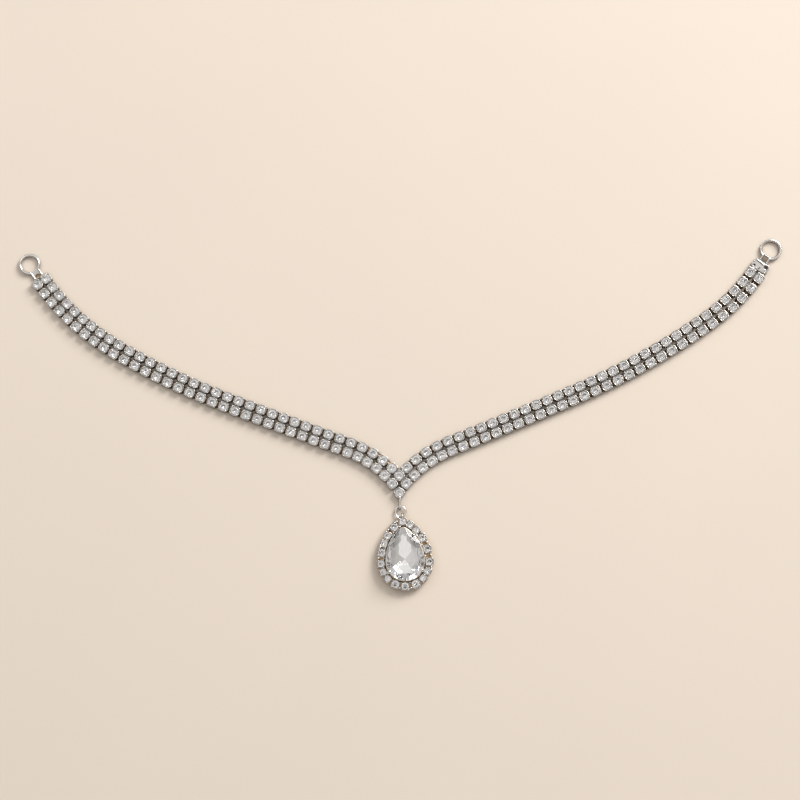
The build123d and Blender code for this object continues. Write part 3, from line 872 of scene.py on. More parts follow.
class Finish:
    """A material's node tree, built node by node."""

    def __init__(self, name):
        self.material = bpy.data.materials.new(name)
        self.material.use_nodes = True
        self.tree = self.material.node_tree
        self.shader = self.tree.nodes["Principled BSDF"]
        self.place = self.node("ShaderNodeTexCoord", {}).outputs["Object"]

    def node(self, kind, inputs, **settings):
        return add_node(self.tree, kind, inputs, **settings)

    def noise(self, grain, detail=3.0, stretch=(1, 1, 1)):
        """Noise whose cells are this many metres across."""
        scaled = self.node("ShaderNodeMapping", {"Vector": self.place, "Scale": stretch})
        return self.node("ShaderNodeTexNoise", {
            "Vector": scaled.outputs[0], "Scale": 1 / grain, "Detail": detail}).outputs["Fac"]

    def span(self, value, low, high, to_low=0.0, to_high=1.0):
        """A value's range laid onto another range, and held at its ends."""
        return self.node("ShaderNodeMapRange", {
            "Value": value, "From Min": low, "From Max": high, "To Min": to_low,
            "To Max": to_high}).outputs["Result"]

    def blend(self, factor, a, b):
        """A colour between two, each a colour or another node's result."""
        a, b = (value if isinstance(value, bpy.types.NodeSocket) else (*value, 1.0)
                for value in (a, b))
        return self.node("ShaderNodeMix", {0: factor, 6: a, 7: b}, data_type="RGBA").outputs[2]

    def stained(self, metal, stain, bottom, top):
        """A metal darkened to a painted shade colour from one height down to another: painted
        shade that stands in for the shadow deep in the work. Without a shade colour it stays as it
        is."""
        if not stain:
            return metal
        height = self.node("ShaderNodeSeparateXYZ", {0: self.place}).outputs["Z"]
        return self.blend(self.span(height, bottom, top), stain, metal)

    def bump(self, height, strength, distance):
        """Fine relief, this far from hollow to crest in metres."""
        bump = self.node("ShaderNodeBump", {
            "Height": height, "Strength": strength, "Distance": distance})
        self.set(Normal=bump.outputs["Normal"])

    def set(self, **inputs):
        """Feeds the shader's inputs, by their names with _ for each space."""
        for name, value in inputs.items():
            feed(self.tree, self.shader.inputs[name.replace("_", " ")], value)


def dimmed(shade, part):
    """A colour darkened to this part of itself."""
    return tuple(part * value for value in shade)


def plating(name, finish, shade, stain, stain_bottom, stain_top):
    """Bright plating, dulled in clouds and hairlines, and darkened below a height to painted shade
    where a shade colour is given.
    """
    made = Finish(name)
    clouds = made.noise(2.2 * MM)
    hairlines = made.noise(0.12 * MM, detail=2.0, stretch=(1, 0.12, 1))
    metal = made.blend(clouds, dimmed(shade, 0.90), shade)
    made.set(
        Base_Color=made.stained(metal, stain, stain_bottom, stain_top), Metallic=1.0,
        Roughness=made.span(clouds, 0.3, 0.7, finish.gloss * 0.7, finish.gloss * 1.4))
    made.bump(hairlines, 0.12, 0.01 * MM)
    return made.material


def satin_plating(name, finish, shade, stain, stain_bottom, stain_top):
    """Brushed plating with short fine scratches, duller than the wires, and darkened below a
    height to painted shade where a shade colour is given.
    """
    made = Finish(name)
    clouds = made.noise(1.2 * MM)
    brushing = made.noise(0.05 * MM, detail=2.0, stretch=(0.15, 1, 1))
    metal = made.blend(clouds, dimmed(shade, 0.88), shade)
    made.set(
        Base_Color=made.stained(metal, stain, stain_bottom, stain_top), Metallic=1.0,
        Roughness=made.span(brushing, 0.3, 0.7, 0.30, 0.48))
    made.bump(brushing, 0.25, 0.006 * MM)
    return made.material


def crystal_glass(name, finish):
    """Clear cut glass with a breath of cloudiness and fine polishing lines."""
    made = Finish(name)
    clouds = made.noise(3.0 * MM)
    polish = made.noise(0.25 * MM, detail=1.0, stretch=(1, 0.2, 1))
    made.set(
        Base_Color=made.blend(clouds, tuple(finish.crystal), (0.99, 0.985, 0.975)),
        Roughness=0.0, IOR=1.56, Transmission_Weight=1.0)
    made.bump(polish, 0.03, 0.004 * MM)
    return made.material


def mirror_foil(name, finish):
    """The silvered foil behind a stone, faintly mottled."""
    made = Finish(name)
    clouds = made.noise(1.4 * MM)
    made.set(
        Base_Color=made.blend(clouds, dimmed(finish.foil, 0.90), tuple(finish.foil)),
        Metallic=1.0, Roughness=made.span(clouds, 0.3, 0.7, 0.02, 0.07))
    return made.material


def floor_cloth(name, stage):
    """A plain pale floor with a faint soft unevenness."""
    made = Finish(name)
    clouds = made.noise(60 * MM)
    made.set(
        Base_Color=made.blend(clouds, dimmed(stage.floor, 0.96), tuple(stage.floor)),
        Roughness=0.55, Specular_IOR_Level=0.3)
    return made.material


# The metals: how each is made, its colour, the colour of its painted shade, and the heights in
# millimetres where the painted shade is full and where it begins
Metal = namedtuple("Metal", "maker shade stain stain_bottom stain_top")
METALS = {
    # open bright metal: the claws, and the bar's collar and beads
    "bright_plating": Metal(plating, "metal", None, 0.0, 0.0),
    # the cups of the rows and of the V, and their links, with painted shade low on their walls;
    # the links lie wholly in it
    "cup_plating": Metal(plating, "metal", "recess", 1.36, 1.60),
    # the drop's plate, cups and beads, in warm painted shade below the cups' rims, and the leaf of
    # painted shade under the left loop
    "drop_plating": Metal(plating, "metal", "gilded", 1.65, 2.10),
    # the jump ring, with painted shade along its sides
    "wire_plating": Metal(plating, "wire", "recess", 0.86, 1.07),
    # the eye and the drop's eyelet, with painted shade along the sides of their upper runs
    "staple_plating": Metal(plating, "wire", "recess", 1.40, 1.62),
    # the fastening rings and their rails, with painted shade low down on their sides
    "ring_plating": Metal(plating, "wire", "recess", 0.45, 1.20),
    # the thin dull wall round the pear stone, in painted shade below its top
    "bezel_plating": Metal(satin_plating, "bezel", "recess", 3.40, 3.95),
    # the plates of the left loop, with painted shade low on their sides
    "satin_plating": Metal(satin_plating, "satin", "recess", 0.45, 0.80),
    # the dark brown strip between the rails of the right loop, with painted shade low on its sides
    "web_plating": Metal(satin_plating, "web", "recess", 0.45, 0.80),
    # the end bar, with painted shade down in its holes, notches and seam and low on its sides
    "bar_plating": Metal(satin_plating, "bar", "recess", 0.95, 1.32),
}


def finish_named(name, maker, *arguments):
    """The material of this name, made the first time that it is asked for."""
    return bpy.data.materials.get(name) or maker(name, *arguments)


def metal_finish(context, name):
    """One of the metals, in the colours of the settings."""
    finish, metal = context.scene.jewel_finish, METALS[name]
    # The colour of the metal's painted shade, if it has one
    stain = tuple(getattr(finish, metal.stain)) if metal.stain else None
    return finish_named(name, metal.maker, finish, tuple(getattr(finish, metal.shade)), stain,
                        metal.stain_bottom * MM, metal.stain_top * MM)


def crystal_finishes(context):
    """The glass of a stone and the foil behind it."""
    finish = context.scene.jewel_finish
    return (finish_named("crystal_glass", crystal_glass, finish),
            finish_named("mirror_foil", mirror_foil, finish))


# ------------------------------------------------------------------ operators

def fit(piece, slot, *nodes):
    """Fixes a finished piece to the frame, in place of these nodes."""
    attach(piece, BODY)
    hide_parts(*nodes)


def fit_metal(context, name, bm, smooth_below, finish, node):
    """Makes a metal piece of what has been drawn, and fits it in place of the frame's node."""
    mesh = mesh_from(bm, name, smooth_below)
    fit(new_piece(name, mesh, [metal_finish(context, finish)]), "plated_metal", node)


def set_cups(context, name, node, spots, cup, radius, finish, link_width=0.0, sizes=None):
    """Stands a cup on each spot, with links between them if they are on one thread."""
    piece = grown(name, spots, cup_tree, {
        "Cup": cup, "Cup radius": radius, "Link inset": LINK_INSET, "Link width": link_width,
        "Link height": LINK_HEIGHT, "Link middle height": LINK_MID_Z,
        "Material": metal_finish(context, finish)}, sizes)
    fit(piece, "plated_metal", node)


def set_stones(context, name, node, spots, stone, rim, tilt, seed, sizes=None):
    """Sets a stone into the rim of the cup on each spot."""
    crystal, foil = crystal_finishes(context)
    piece = grown(name, spots, stone_tree, {
        "Stone": stone, "Girdle height": rim + GIRDLE_LIFT, "Largest tilt": tilt, "Seed": seed,
        "Crystal": crystal, "Foil": foil}, sizes)
    fit(piece, "crystal", node)


def row_masters(rows, half_length):
    """One cup and one stone of the rows, to be repeated."""
    cup = claw_cup(CupSizes(
        rows.foot_radius, half_length, rows.cup_width, 0.0, rows.flare_top, rows.rim,
        rows.stone_radius - STONE_PLAY, rows.prong_radius))
    stone = round_stone(rows.stone_radius, ROW_STONE_DEPTH,
                        rows.stone_top - rows.rim - GIRDLE_LIFT, half_length / rows.cup_width)
    return new_piece("cup_master", cup), new_piece("stone_master", stone)


def discard(*pieces):
    """Takes away the masters and tools that have done their work."""
    for piece in pieces:
        bpy.data.objects.remove(piece)


class JEWEL_OT_rows(bpy.types.Operator):
    """Set the four rows of round stones in their linked claw cups"""
    bl_idname = "jewel.rows"
    bl_label = "Rows of stones"

    def execute(self, context):
        rows = context.scene.jewel_rows
        cup, stone = row_masters(rows, rows.cup_length)
        for number, (node, spots) in enumerate(row_spots().items()):
            set_cups(context, node.replace("row", "cups"), node, spots, cup, rows.cup_width,
                     "cup_plating", rows.link_width)
            set_stones(context, node.replace("row", "stones"), node, spots, stone, rows.rim,
                       rows.stone_tilt, rows.seed + number)
        discard(cup, stone)
        return {"FINISHED"}


def staple(bm, reach, radius, place):
    """An upright wire staple along +X: out on top, round its end and back below."""
    mid, half = LINKAGE_MID_Z, STAPLE_HALF_HEIGHT
    end = [Vector((reach + half * sin(radians(a)), 0, mid + half * cos(radians(a))))
           for a in range(0, 181, 15)]
    path = [Vector((0, 0, mid + half))] + end + [Vector((0, 0, mid - half))]
    wire(bm, path, ASIDE, radius, radius, place=place)


class JEWEL_OT_centre(bpy.types.Operator):
    """Solder the two cups of the V together, with the eye that the drop hangs from"""
    bl_idname = "jewel.centre"
    bl_label = "Centre of the V"

    def execute(self, context):
        rows = context.scene.jewel_rows
        cup, stone = row_masters(rows, rows.cup_width)
        spots = [APEX, Spot(APEX.x, APEX.y + UPPER_APEX_RISE, APEX.heading)]
        set_cups(context, "centre_cups", "centre_setting", spots, cup, rows.cup_width,
                 "cup_plating", CENTRE_LINK_WIDTH)
        set_stones(context, "centre_stones", "centre_setting", spots, stone, rows.rim,
                   rows.stone_tilt, rows.seed + CENTRE_SEED)
        discard(cup, stone)

        bm = bmesh.new()
        root = -rows.cup_width + EYE_ROOT
        place = matrix(placed(Spot(EYE_X, root, -90)))
        staple(bm, root - EYE_BEND_Y, EYE_WIRE, place)
        height = LINKAGE_MID_Z + STAPLE_HALF_HEIGHT - SOLDER_SINK
        along, widths, heights = zip(*EYE_SOLDER)
        wire(bm, [Vector((x, 0, height)) for x in along], UP, widths, heights, 14, place=place)
        fit_metal(context, "centre_eye", bm, 60, "staple_plating", "centre_setting")
        return {"FINISHED"}


class JEWEL_OT_jump_ring(bpy.types.Operator):
    """Close the ring of wire between the eye and the drop, its ends lapped side by side"""
    bl_idname = "jewel.jump_ring"
    bl_label = "Jump ring"

    def execute(self, context):
        turn = arc(Vector(), JUMP_RADIUS, JUMP_START, JUMP_ROUND, 48)
        way = JUMP_START + JUMP_ROUND
        shift = (JUMP_RADIUS - LAP_RADIUS) * Vector((cos(radians(way)), sin(radians(way)), 0))
        lap = arc(shift, LAP_RADIUS, way, LAP_ARC, 12)[1:]
        place = Matrix.Translation(Vector((APEX.x, APEX.y, LINKAGE_MID_Z)) + JUMP_CENTRE)
        bm = bmesh.new()
        wire(bm, turn + lap, UP, JUMP_WIRE, JUMP_WIRE, 14, place=place)
        fit_metal(context, "jump_ring_wire", bm, 60, "wire_plating", "jump_ring")
        return {"FINISHED"}


def carved(name, blank, cutter):
    """The blank with the cutter's shape taken out of it."""
    body, tool = new_piece(name, blank), new_piece(name + "_cutter", cutter)
    modifier = body.modifiers.new("carve", "BOOLEAN")
    modifier.operation = "DIFFERENCE"
    modifier.solver = "EXACT"
    modifier.use_self = True
    modifier.object = tool
    graph = bpy.context.evaluated_depsgraph_get()
    mesh = bpy.data.meshes.new_from_object(body.evaluated_get(graph), depsgraph=graph)
    discard(body, tool)
    bm = bmesh.new()
    bm.from_mesh(mesh)
    bpy.data.meshes.remove(mesh)
    return bm


def fastening_ring(bm, place, inner, crest, outer, opening):
    """A ring turned from a profile that rises from its bore to a crest and falls outside, left
    open by this many degrees each side of +X, where its fork joins it."""
    low, high = RING_MID_Z - RING_HEIGHT / 2, RING_MID_Z + RING_HEIGHT / 2
    middle, half = (crest + outer) / 2, (outer - crest) / 2
    # the bore's wall and its slope, the round ridge, then the outside and the chamfers below
    bore = [(inner, low + 0.12 * MM), (inner, low + 0.40 * MM),
            (crest - 0.06 * MM, high - 0.28 * MM)]
    ridge = [(middle - half * cos(radians(a)),
              high - RING_RIDGE + RING_RIDGE * sin(radians(a))) for a in range(15, 180, 15)]
    outside = [(outer, high - 0.35 * MM), (outer, low + 0.25 * MM),
               (outer - 0.10 * MM, low + 0.06 * MM), (outer - 0.28 * MM, low),
               (inner + 0.14 * MM, low)]
    profile = bore + ridge + outside
    steps = 66
    ways = [radians(opening + (360 - 2 * opening) * i / steps) for i in range(steps + 1)]
    rings = [[bm.verts.new(place @ Vector((r * cos(way), r * sin(way), z))) for r, z in profile]
             for way in ways]
    skin(bm, rings)
    bm.faces.new(rings[0])
    bm.faces.new(rings[-1])


def oblong(start, end, half):
    """The outline of a strip along X, from start to end, of this half width."""
    return [Vector((start, -half, 0)), Vector((end, -half, 0)),
            Vector((end, half, 0)), Vector((start, half, 0))]


def rail_bend(ring_end, facing, reach):
    """The bend of the wire where it leaves its ring for a rail that runs at this reach."""
    facing = radians(facing)
    slide = (ring_end.y - reach) / cos(facing)
    knee = ring_end + Vector((sin(facing), -cos(facing), 0)) * slide
    leave = knee + Vector((KNEE_LENGTH, 0, 0))
    return [ring_end * (1 - t)**2 + knee * (2 * t * (1 - t)) + leave * t**2
            for t in (0, 0.2, 0.4, 0.6, 0.8, 1.0)]


def left_loop_wire(bm, place, end):
    """The left ring and its two rails, bent from one wire that thins towards the rails."""
    ring = arc(Vector(), RING_BORE_RADIUS + RING_WALL / 2, LEFT_OPENING,
               360 - 2 * LEFT_OPENING, 64)
    foot = Vector((end - RAIL_RADIUS, LEFT_RAIL_SPREAD / 2, 0))
    bend = rail_bend(ring[0], LEFT_OPENING, LEFT_RAIL_SPREAD / 2)
    mirror = Matrix.Diagonal((1, -1, 1))
    path = [foot, *reversed(bend), *ring[1:-1], *(mirror @ p for p in bend), mirror @ foot]
    lift = Vector((0, 0, RING_MID_Z))
    narrow, wide = RAIL_RADIUS, RING_WALL / 2
    run = [narrow] * 2 + [narrow + (wide - narrow) * k / (len(bend) - 2)
                          for k in range(1, len(bend) - 1)]
    tall = [narrow + (RING_HEIGHT / 2 - narrow) * (w - narrow) / (wide - narrow) for w in run]
    wire(bm, [p + lift for p in path], UP, run + [wide] * len(ring) + run[::-1],
         tall + [RING_HEIGHT / 2] * len(ring) + tall[::-1], 16, place=place)


class JEWEL_OT_left_end(bpy.types.Operator):
    """Bend the left fastening loop: a ring of wire, its two rails and the satin plates between"""
    bl_idname = "jewel.left_end"
    bl_label = "Left fastening loop"

    def execute(self, context):
        last = arm_columns(LEFT_BENDS)[-1]
        place = matrix(placed(turned(mirrored(go(last, LEFT_RING_REACH)), 180)))
        end = LEFT_RING_REACH - context.scene.jewel_rows.cup_length - SEAT_GAP
        bm = bmesh.new()
        left_loop_wire(bm, place, end)
        fit_metal(context, "left_loop", bm, 60, "ring_plating", "left_end_loop")

        bm = bmesh.new()
        half = LEFT_RAIL_SPREAD / 2
        window = [Vector((WINDOW_END - WINDOW_RADIUS * sin(radians(a)),
                          WINDOW_RADIUS * cos(radians(a)), 0)) for a in range(0, 181, 15)]
        near = [*arc(Vector(), RING_BORE_RADIUS + PLATE_INTO_RING, -PLATE_ARC, 2 * PLATE_ARC, 8),
                Vector((WINDOW_END, half, 0)), *window, Vector((WINDOW_END, -half, 0))]
        for outline in (near, oblong(WINDOW_END, end, half)):
            plate(bm, outline, PLATE_BOTTOM, PLATE_TOP, PLATE_BEVEL, place)
        tongue = [Vector((x * MM, TONGUE_SIDE, z * MM)) for x, z in TONGUE]
        wire(bm, tongue, ASIDE, TONGUE_THICKNESS / 2, TONGUE_WIDTH / 2, 20, place=place)
        fit_metal(context, "left_loop_plates", bm, 40, "satin_plating", "left_end_loop")

        # A thin plate low under the window, wholly in warm painted shade, so that the window looks
        # like deep shadow
        bm = bmesh.new()
        plate(bm, oblong(SHADE_LEAF_START, end, half), SHADE_LEAF_BOTTOM, SHADE_LEAF_TOP, PLATE_BEVEL, place)
        fit_metal(context, "left_loop_lower_leaf", bm, 40, "drop_plating", "left_end_loop")
        return {"FINISHED"}


class JEWEL_OT_right_end(bpy.types.Operator):
    """Turn the right fastening ring and join its fork, with a sunken web between the rails"""
    bl_idname = "jewel.right_end"
    bl_label = "Right fastening loop"

    def execute(self, context):
        place = matrix(turned(go(right_bar_spot(), RIGHT_RING_REACH), 180))
        end = RIGHT_RING_REACH - BAR_LENGTH / 2 - SEAT_GAP
        bore, half = RING_BORE_RADIUS, RIGHT_RAIL_SPREAD / 2
        bm = bmesh.new()
        fastening_ring(bm, place, bore, bore + RING_CREST, bore + RING_WALL, RIGHT_OPENING)
        for side, thick in FORK_RAILS:
            rail = [Vector((x, side * half, FORK_RAIL_Z)) for x in (
                bore + FORK_INTO_RING, 3.0 * MM, 4.0 * MM, end - RAIL_RADIUS)]
            wire(bm, rail, UP, RAIL_RADIUS * thick, RAIL_RADIUS * FORK_TALL, 16, place=place)
        cross = [Vector((bore + CROSS_INTO_RING, y, FORK_RAIL_Z)) for y in (-half, 0, half)]
        wire(bm, cross, UP, CROSS_WIDTH / 2, CROSS_HEIGHT / 2, place=place)
        fit_metal(context, "right_loop", bm, 50, "ring_plating", "right_end_loop")

        bm = bmesh.new()
        web = oblong(bore + WEB_INTO_RING, end, half)
        plate(bm, web, PLATE_BOTTOM, PLATE_TOP, PLATE_BEVEL, place)
        fit_metal(context, "right_loop_web", bm, 40, "web_plating", "right_end_loop")
        return {"FINISHED"}


def bead_mesh(radius, bottom, height):
    """A short post with a round head, its widest part at this height."""
    bm = bmesh.new()
    head = [(radius * cos(radians(a)), height + radius * 0.8 * sin(radians(a)), ROUND)
            for a in (-35, 0, 30, 60)]
    lathe(bm, [(0, bottom, ROUND), (radius * 0.7, bottom, ROUND), *head,
               (0, height + radius * 0.8, ROUND)], 12)
    return mesh_from(bm, "bead", 50)


def on_bar(x, y, height=0.0):
    """A point of the end bar: in millimetres from its middle, at a height in metres."""
    return Vector((x * MM, y * MM, height))


def carved_bar():
    """The bar with its seats, notches and seam, round its own middle."""
    corner = Vector((BAR_LENGTH / 2 - BAR_CORNER, BAR_WIDTH / 2 - BAR_CORNER, 0))
    outline = []
    for x, y, start in ((1, 1, 0), (-1, 1, 90), (-1, -1, 180), (1, -1, 270)):
        outline += arc(Vector((corner.x * x, corner.y * y, 0)), BAR_CORNER, start, 90, 8)
    blank, cutters = bmesh.new(), bmesh.new()
    plate(blank, outline, BAR_BOTTOM, BAR_TOP, BAR_BEVEL)
    low, top = BAR_BOTTOM - CUTTER_BELOW, BAR_TOP + CUTTER_ABOVE
    for x, y, hole, dish, deep in BAR_SEATS:
        floor = BAR_TOP - deep * MM
        lathe(cutters, ((0, low, ROUND), (hole * MM, low, ROUND), (hole * MM, floor, ROUND),
                        (dish * DISH_FLOOR * MM, floor + DISH_STEP, ROUND),
                        (dish * MM, top, ROUND), (0, top, ROUND)), 32,
              Matrix.Translation(on_bar(x, y)))
    floor = BAR_TOP - NOTCH_DEPTH
    for x, y, size in BAR_NOTCHES:
        lathe(cutters, ((0, floor, ROUND), (size * NOTCH_FLOOR * MM, floor, ROUND),
                        (size * MM, top, ROUND), (0, top, ROUND)), 14,
              Matrix.Translation(on_bar(x, y)))
    seam = [on_bar(x, y, BAR_TOP) for x, y in BAR_SEAM]
    wire(cutters, seam, UP, SEAM_WIDTH / 2, SEAM_DEPTH)
    return carved("bar_blank", mesh_from(blank, "bar_blank"), mesh_from(cutters, "bar_cutters"))


class JEWEL_OT_end_bar(bpy.types.Operator):
    """Carve the end bar: two empty seats with their holes, a raised collar and corner beads"""
    bl_idname = "jewel.end_bar"
    bl_label = "Right end bar"

    def execute(self, context):
        place = matrix(right_bar_spot())
        bm = carved_bar()
        bmesh.ops.transform(bm, matrix=place, verts=bm.verts)
        fit_metal(context, "right_bar", bm, 35, "bar_plating", "right_end_bar")

        bm = bmesh.new()
        collar = [on_bar(x, y, BAR_TOP - COLLAR_SINK) for x, y, _ in BAR_COLLAR]
        widths = [wide * MM for *_, wide in BAR_COLLAR]
        wire(bm, collar, UP, widths, [COLLAR_ROUND * wide for wide in widths], 14, place=place)
        x, y, _, dish, _ = BAR_SEATS[1]
        rim = arc(on_bar(x, y, BAR_TOP), (dish + SEAT_RIM_OUT) * MM, 0, 360, 40)[:-1]
        wire(bm, rim, UP, SEAT_RIM_WIDTH / 2, SEAT_RIM_HEIGHT / 2, place=place, closed=True)
        for x, y, size in BAR_BEADS:
            bead = bead_mesh(size * MM, BAR_TOP - BAR_BEAD_SINK, BAR_TOP + BAR_BEAD_RISE)
            bead.transform(place @ Matrix.Translation(on_bar(x, y)))
            bm.from_mesh(bead)
            bpy.data.meshes.remove(bead)
        fit_metal(context, "right_bar_collar", bm, 60, "bright_plating", "right_end_bar")
        return {"FINISHED"}


def halo_spots(cup_radius):
    """The spot of each halo cup, and its size where its neighbours leave less than full room."""
    path = Pear(HALO_SIDE_RADIUS, HALO_TIP_HEIGHT, HALO_TIP_RADIUS)
    spots, sizes, gone = [], [], 0.0
    for before, step in zip((HALO_STEPS[-1], *HALO_STEPS), HALO_STEPS):
        way = pear_facing(path, gone / sum(HALO_STEPS))
        point = pear_point(path, way)
        spots.append(placed(turned(go(DROP, point.x, point.y), way - 90)))
        room = min(before, step) * MM - HALO_CUP_GAP
        sizes.append(min(1.0, room / 2 / cup_radius))
        gone += step
    return spots, sizes


class JEWEL_OT_halo(bpy.types.Operator):
    """Set the ring of small stones round the drop, each in a claw cup on the back plate"""
    bl_idname = "jewel.halo"
    bl_label = "Halo"

    def execute(self, context):
        drop, rows = context.scene.jewel_drop, context.scene.jewel_rows
        radius = drop.halo_cup_radius
        spots, sizes = halo_spots(radius)
        cup = new_piece("cup_master", claw_cup(CupSizes(
            HALO_FOOT_RADIUS, radius, radius, HALO_FOOT_Z, HALO_FLARE_TOP, HALO_RIM,
            drop.halo_stone_radius - STONE_PLAY, HALO_PRONG_RADIUS)))
        stone = new_piece("stone_master", round_stone(
            drop.halo_stone_radius, HALO_STONE_DEPTH, HALO_STONE_CROWN))
        set_cups(context, "halo_cups", "drop_frame", spots, cup, radius, "drop_plating",
                 sizes=sizes)
        set_stones(context, "halo_stones", "drop_frame", spots, stone, HALO_RIM,
                   radians(HALO_STONE_TILT), rows.seed + HALO_SEED, sizes)
        discard(cup, stone)

        bead_spots = []
        for before, after in zip(spots, spots[1:] + spots[:1]):
            if hypot(after.x - before.x, after.y - before.y) > BEAD_ROOM:
                middle = Spot((before.x + after.x) / 2, (before.y + after.y) / 2,
                              degrees(atan2(after.y - before.y, after.x - before.x)))
                bead_spots += [go(middle, 0, BEAD_SPREAD), go(middle, 0, -BEAD_SPREAD)]
        bead = new_piece("bead_master", bead_mesh(drop.bead_radius, HALO_BEAD_Z, HALO_RIM))
        set_cups(context, "halo_beads", "drop_frame", bead_spots, bead, radius, "drop_plating",
                 sizes=[1.0] * len(bead_spots))
        discard(bead)
        return {"FINISHED"}


class JEWEL_OT_drop_back(bpy.types.Operator):
    """Cut the drop's back plate, and raise the thin wall that holds the pear stone"""
    bl_idname = "jewel.drop_back"
    bl_label = "Back plate and bezel"

    def execute(self, context):
        drop = context.scene.jewel_drop
        place = matrix(placed(DROP))
        ways = pear_ways(pear_shape(drop), steps=96)
        bm = bmesh.new()
        plate(bm, pear_outline(pear_shape(drop, drop.plate_margin), ways), 0, DROP_PLATE_TOP,
              DROP_PLATE_BEVEL, place)
        fit_metal(context, "drop_plate", bm, 40, "drop_plating", "drop_frame")

        bm = bmesh.new()
        wall, outer, lip = BEZEL_WALL, BEZEL_OUTER, BEZEL_LIP
        foot, waist = -BEZEL_FOOT_IN, -BEZEL_WAIST_IN
        levels = ((foot, BEZEL_FOOT_Z), (waist, BEZEL_WAIST_Z), (outer, drop.girdle_bottom),
                  (outer, drop.girdle_top - lip), (lip, drop.girdle_top + lip),
                  (lip, drop.girdle_bottom), (waist - wall, BEZEL_WAIST_Z),
                  (foot - wall, BEZEL_FOOT_Z))
        rings = [[bm.verts.new(place @ Vector((p.x, p.y, z)))
                  for p in pear_outline(pear_shape(drop, margin), ways)] for margin, z in levels]
        skin(bm, rings + rings[:1])
        fit_metal(context, "pear_bezel", bm, 35, "bezel_plating", "drop_frame")
        return {"FINISHED"}


class JEWEL_OT_claws(bpy.types.Operator):
    """Fold the four claws over the pear stone, and stand the eyelet on the drop"""
    bl_idname = "jewel.claws"
    bl_label = "Claws and eyelet"

    def execute(self, context):
        drop = context.scene.jewel_drop
        place = matrix(placed(DROP))
        bm = bmesh.new()
        for way, thick in CLAWS:
            point = pear_point(pear_shape(drop), way)
            turn = matrix(Spot(point.x, point.y, way))
            half = drop.claw_radius * thick
            stations = [CLAW_FOOT] + [(out, drop.girdle_top + rise, wide, high)
                                      for out, rise, wide, high in CLAW_FOLD]
            path = [Vector((out, 0, z)) for out, z, _, _ in stations]
            widths = [half * wide for _, _, wide, _ in stations]
            heights = [half * high for *_, high in stations]
            wire(bm, path, ASIDE, widths, heights, 14, place=place @ turn)
        fit_metal(context, "pear_claws", bm, 70, "bright_plating", "drop_frame")

        bm = bmesh.new()
        root = matrix(Spot(0, EYELET_ROOT_Y, 90))
        staple(bm, EYELET_BEND_Y - EYELET_ROOT_Y, EYELET_WIRE, place @ root)
        fit_metal(context, "drop_eyelet", bm, 60, "staple_plating", "drop_frame")
        return {"FINISHED"}


class JEWEL_OT_pear_stone(bpy.types.Operator):
    """Cut the large pear stone and lay it in its bezel"""
    bl_idname = "jewel.pear_stone"
    bl_label = "Pear stone"

    def execute(self, context):
        mesh = cut_pear(context.scene.jewel_drop)
        fit(new_piece("pear_crystal", mesh, crystal_finishes(context)), "crystal", "pear_stone")
        return {"FINISHED"}


def hang_lamp(name, lamp, radiance, centre):
    """A soft square lamp that faces this centre and is this bright over its whole area."""
    data = bpy.data.lights.new(name, "AREA")
    data.size = lamp.side
    data.energy = radiance * pi * lamp.side**2
    data.color = lamp.tint
    light = new_piece(name, data)
    a, e = radians(lamp.azimuth), radians(lamp.elevation)
    way = Vector((cos(a) * cos(e), sin(a) * cos(e), sin(e)))
    light.location = centre + way * lamp.far
    light.rotation_euler = way.to_track_quat("Z", "Y").to_euler()


def surround(scene, stage):
    """Soft surroundings that brighten from the horizon to the ceiling."""
    scene.world = bpy.data.worlds.new("surroundings")
    scene.world.use_nodes = True
    tree = scene.world.node_tree
    way = add_node(tree, "ShaderNodeTexCoord", {}).outputs["Generated"]
    height = add_node(tree, "ShaderNodeSeparateXYZ", {0: way}).outputs["Z"]
    ceiling = add_node(tree, "ShaderNodeMapRange", {
        "Value": height, "From Min": sin(radians(HORIZON_TOP)),
        "From Max": sin(radians(CEILING_EDGE)), "To Min": stage.horizon, "To Max": stage.sky},
        interpolation_type="SMOOTHSTEP")
    background = tree.nodes["Background"]
    background.inputs["Color"].default_value = SURROUNDINGS_TINT
    tree.links.new(ceiling.outputs["Result"], background.inputs["Strength"])


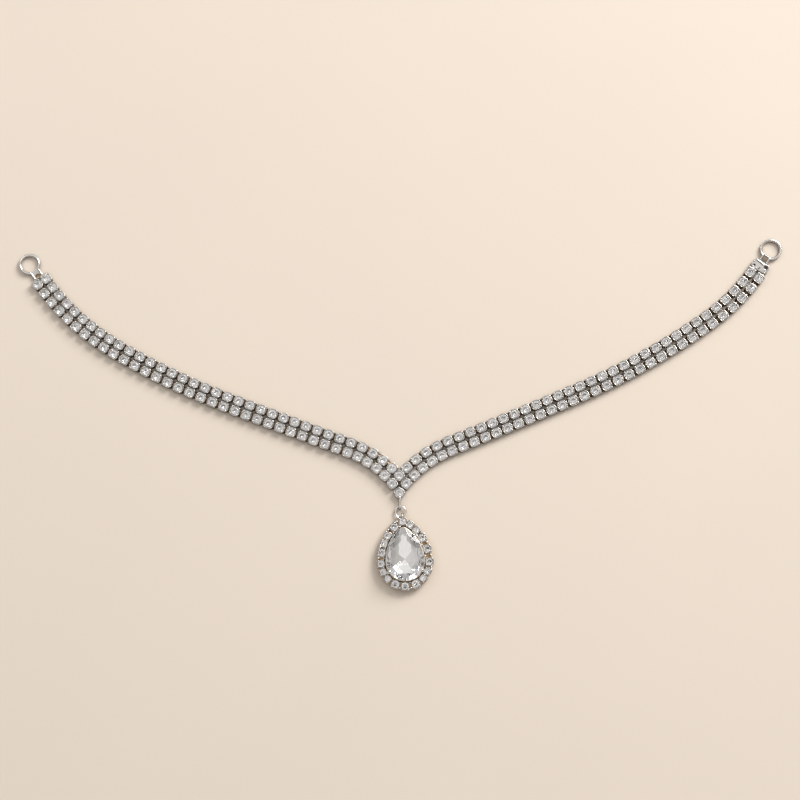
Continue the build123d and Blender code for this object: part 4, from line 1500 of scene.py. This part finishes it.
class JEWEL_OT_stage(bpy.types.Operator):
    """Lay the floor, hang the lights and stand the camera over the jewel"""
    bl_idname = "jewel.stage"
    bl_label = "Stage"

    def execute(self, context):
        scene, stage = context.scene, context.scene.jewel_stage
        low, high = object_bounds()
        mesh = bpy.data.meshes.new("floor")
        corners = [(x * FLOOR_HALF, y * FLOOR_HALF, FLOOR_Z)
                   for x, y in ((-1, -1), (1, -1), (1, 1), (-1, 1))]
        mesh.from_pydata(corners, [], [(0, 1, 2, 3)])
        floor = new_piece("floor", mesh, [floor_cloth("floor_cloth", stage)])
        floor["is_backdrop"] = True
        for name, lamp in LAMPS.items():
            hang_lamp(name + "_light", lamp, getattr(stage, name), (low + high) / 2)
        surround(scene, stage)

        data = bpy.data.cameras.new("camera")
        data.lens = CAMERA_LENS
        data.sensor_width = CAMERA_SENSOR
        data.clip_start = CAMERA_NEAR
        camera = new_piece("camera", data)
        back = Vector((0, -cos(stage.elevation), sin(stage.elevation)))
        camera.location = CAMERA_TARGET + back * stage.distance
        camera.rotation_euler = back.to_track_quat("Z", "Y").to_euler()
        scene.camera = camera
        scene.view_settings.view_transform = "Standard"
        scene.cycles.glossy_bounces = 10
        scene.cycles.transmission_bounces = 16
        scene.cycles.max_bounces = 20
        return {"FINISHED"}


OPERATORS = (JEWEL_OT_rows, JEWEL_OT_centre, JEWEL_OT_jump_ring, JEWEL_OT_drop_back,
             JEWEL_OT_halo, JEWEL_OT_claws, JEWEL_OT_pear_stone, JEWEL_OT_left_end,
             JEWEL_OT_right_end, JEWEL_OT_end_bar, JEWEL_OT_stage)


class JEWEL_PT_panel(bpy.types.Panel):
    """The pieces of the band, one button each"""
    bl_idname = "JEWEL_PT_panel"
    bl_label = "Forehead band"
    bl_space_type = "VIEW_3D"
    bl_region_type = "UI"
    bl_category = "Jewel"

    def draw(self, context):
        for operator in OPERATORS:
            self.layout.operator(operator.bl_idname)


SETTINGS = {"jewel_rows": RowSettings, "jewel_drop": DropSettings,
            "jewel_finish": FinishSettings, "jewel_stage": StageSettings}


def register():
    for group in SETTINGS.values():
        bpy.utils.register_class(group)
    for name, group in SETTINGS.items():
        setattr(bpy.types.Scene, name, bpy.props.PointerProperty(type=group))
    for item in (*OPERATORS, JEWEL_PT_panel):
        bpy.utils.register_class(item)


def unregister():
    for item in (JEWEL_PT_panel, *reversed(OPERATORS)):
        bpy.utils.unregister_class(item)
    for name, group in SETTINGS.items():
        delattr(bpy.types.Scene, name)
        bpy.utils.unregister_class(group)


def main():
    register()
    bpy.ops.jewel.rows()
    bpy.ops.jewel.centre()
    bpy.ops.jewel.jump_ring()
    bpy.ops.jewel.drop_back()
    bpy.ops.jewel.halo()
    bpy.ops.jewel.claws()
    bpy.ops.jewel.pear_stone()
    bpy.ops.jewel.left_end()
    bpy.ops.jewel.right_end()
    bpy.ops.jewel.end_bar()
    bpy.ops.jewel.stage()


if __name__ == "__main__":
    main()
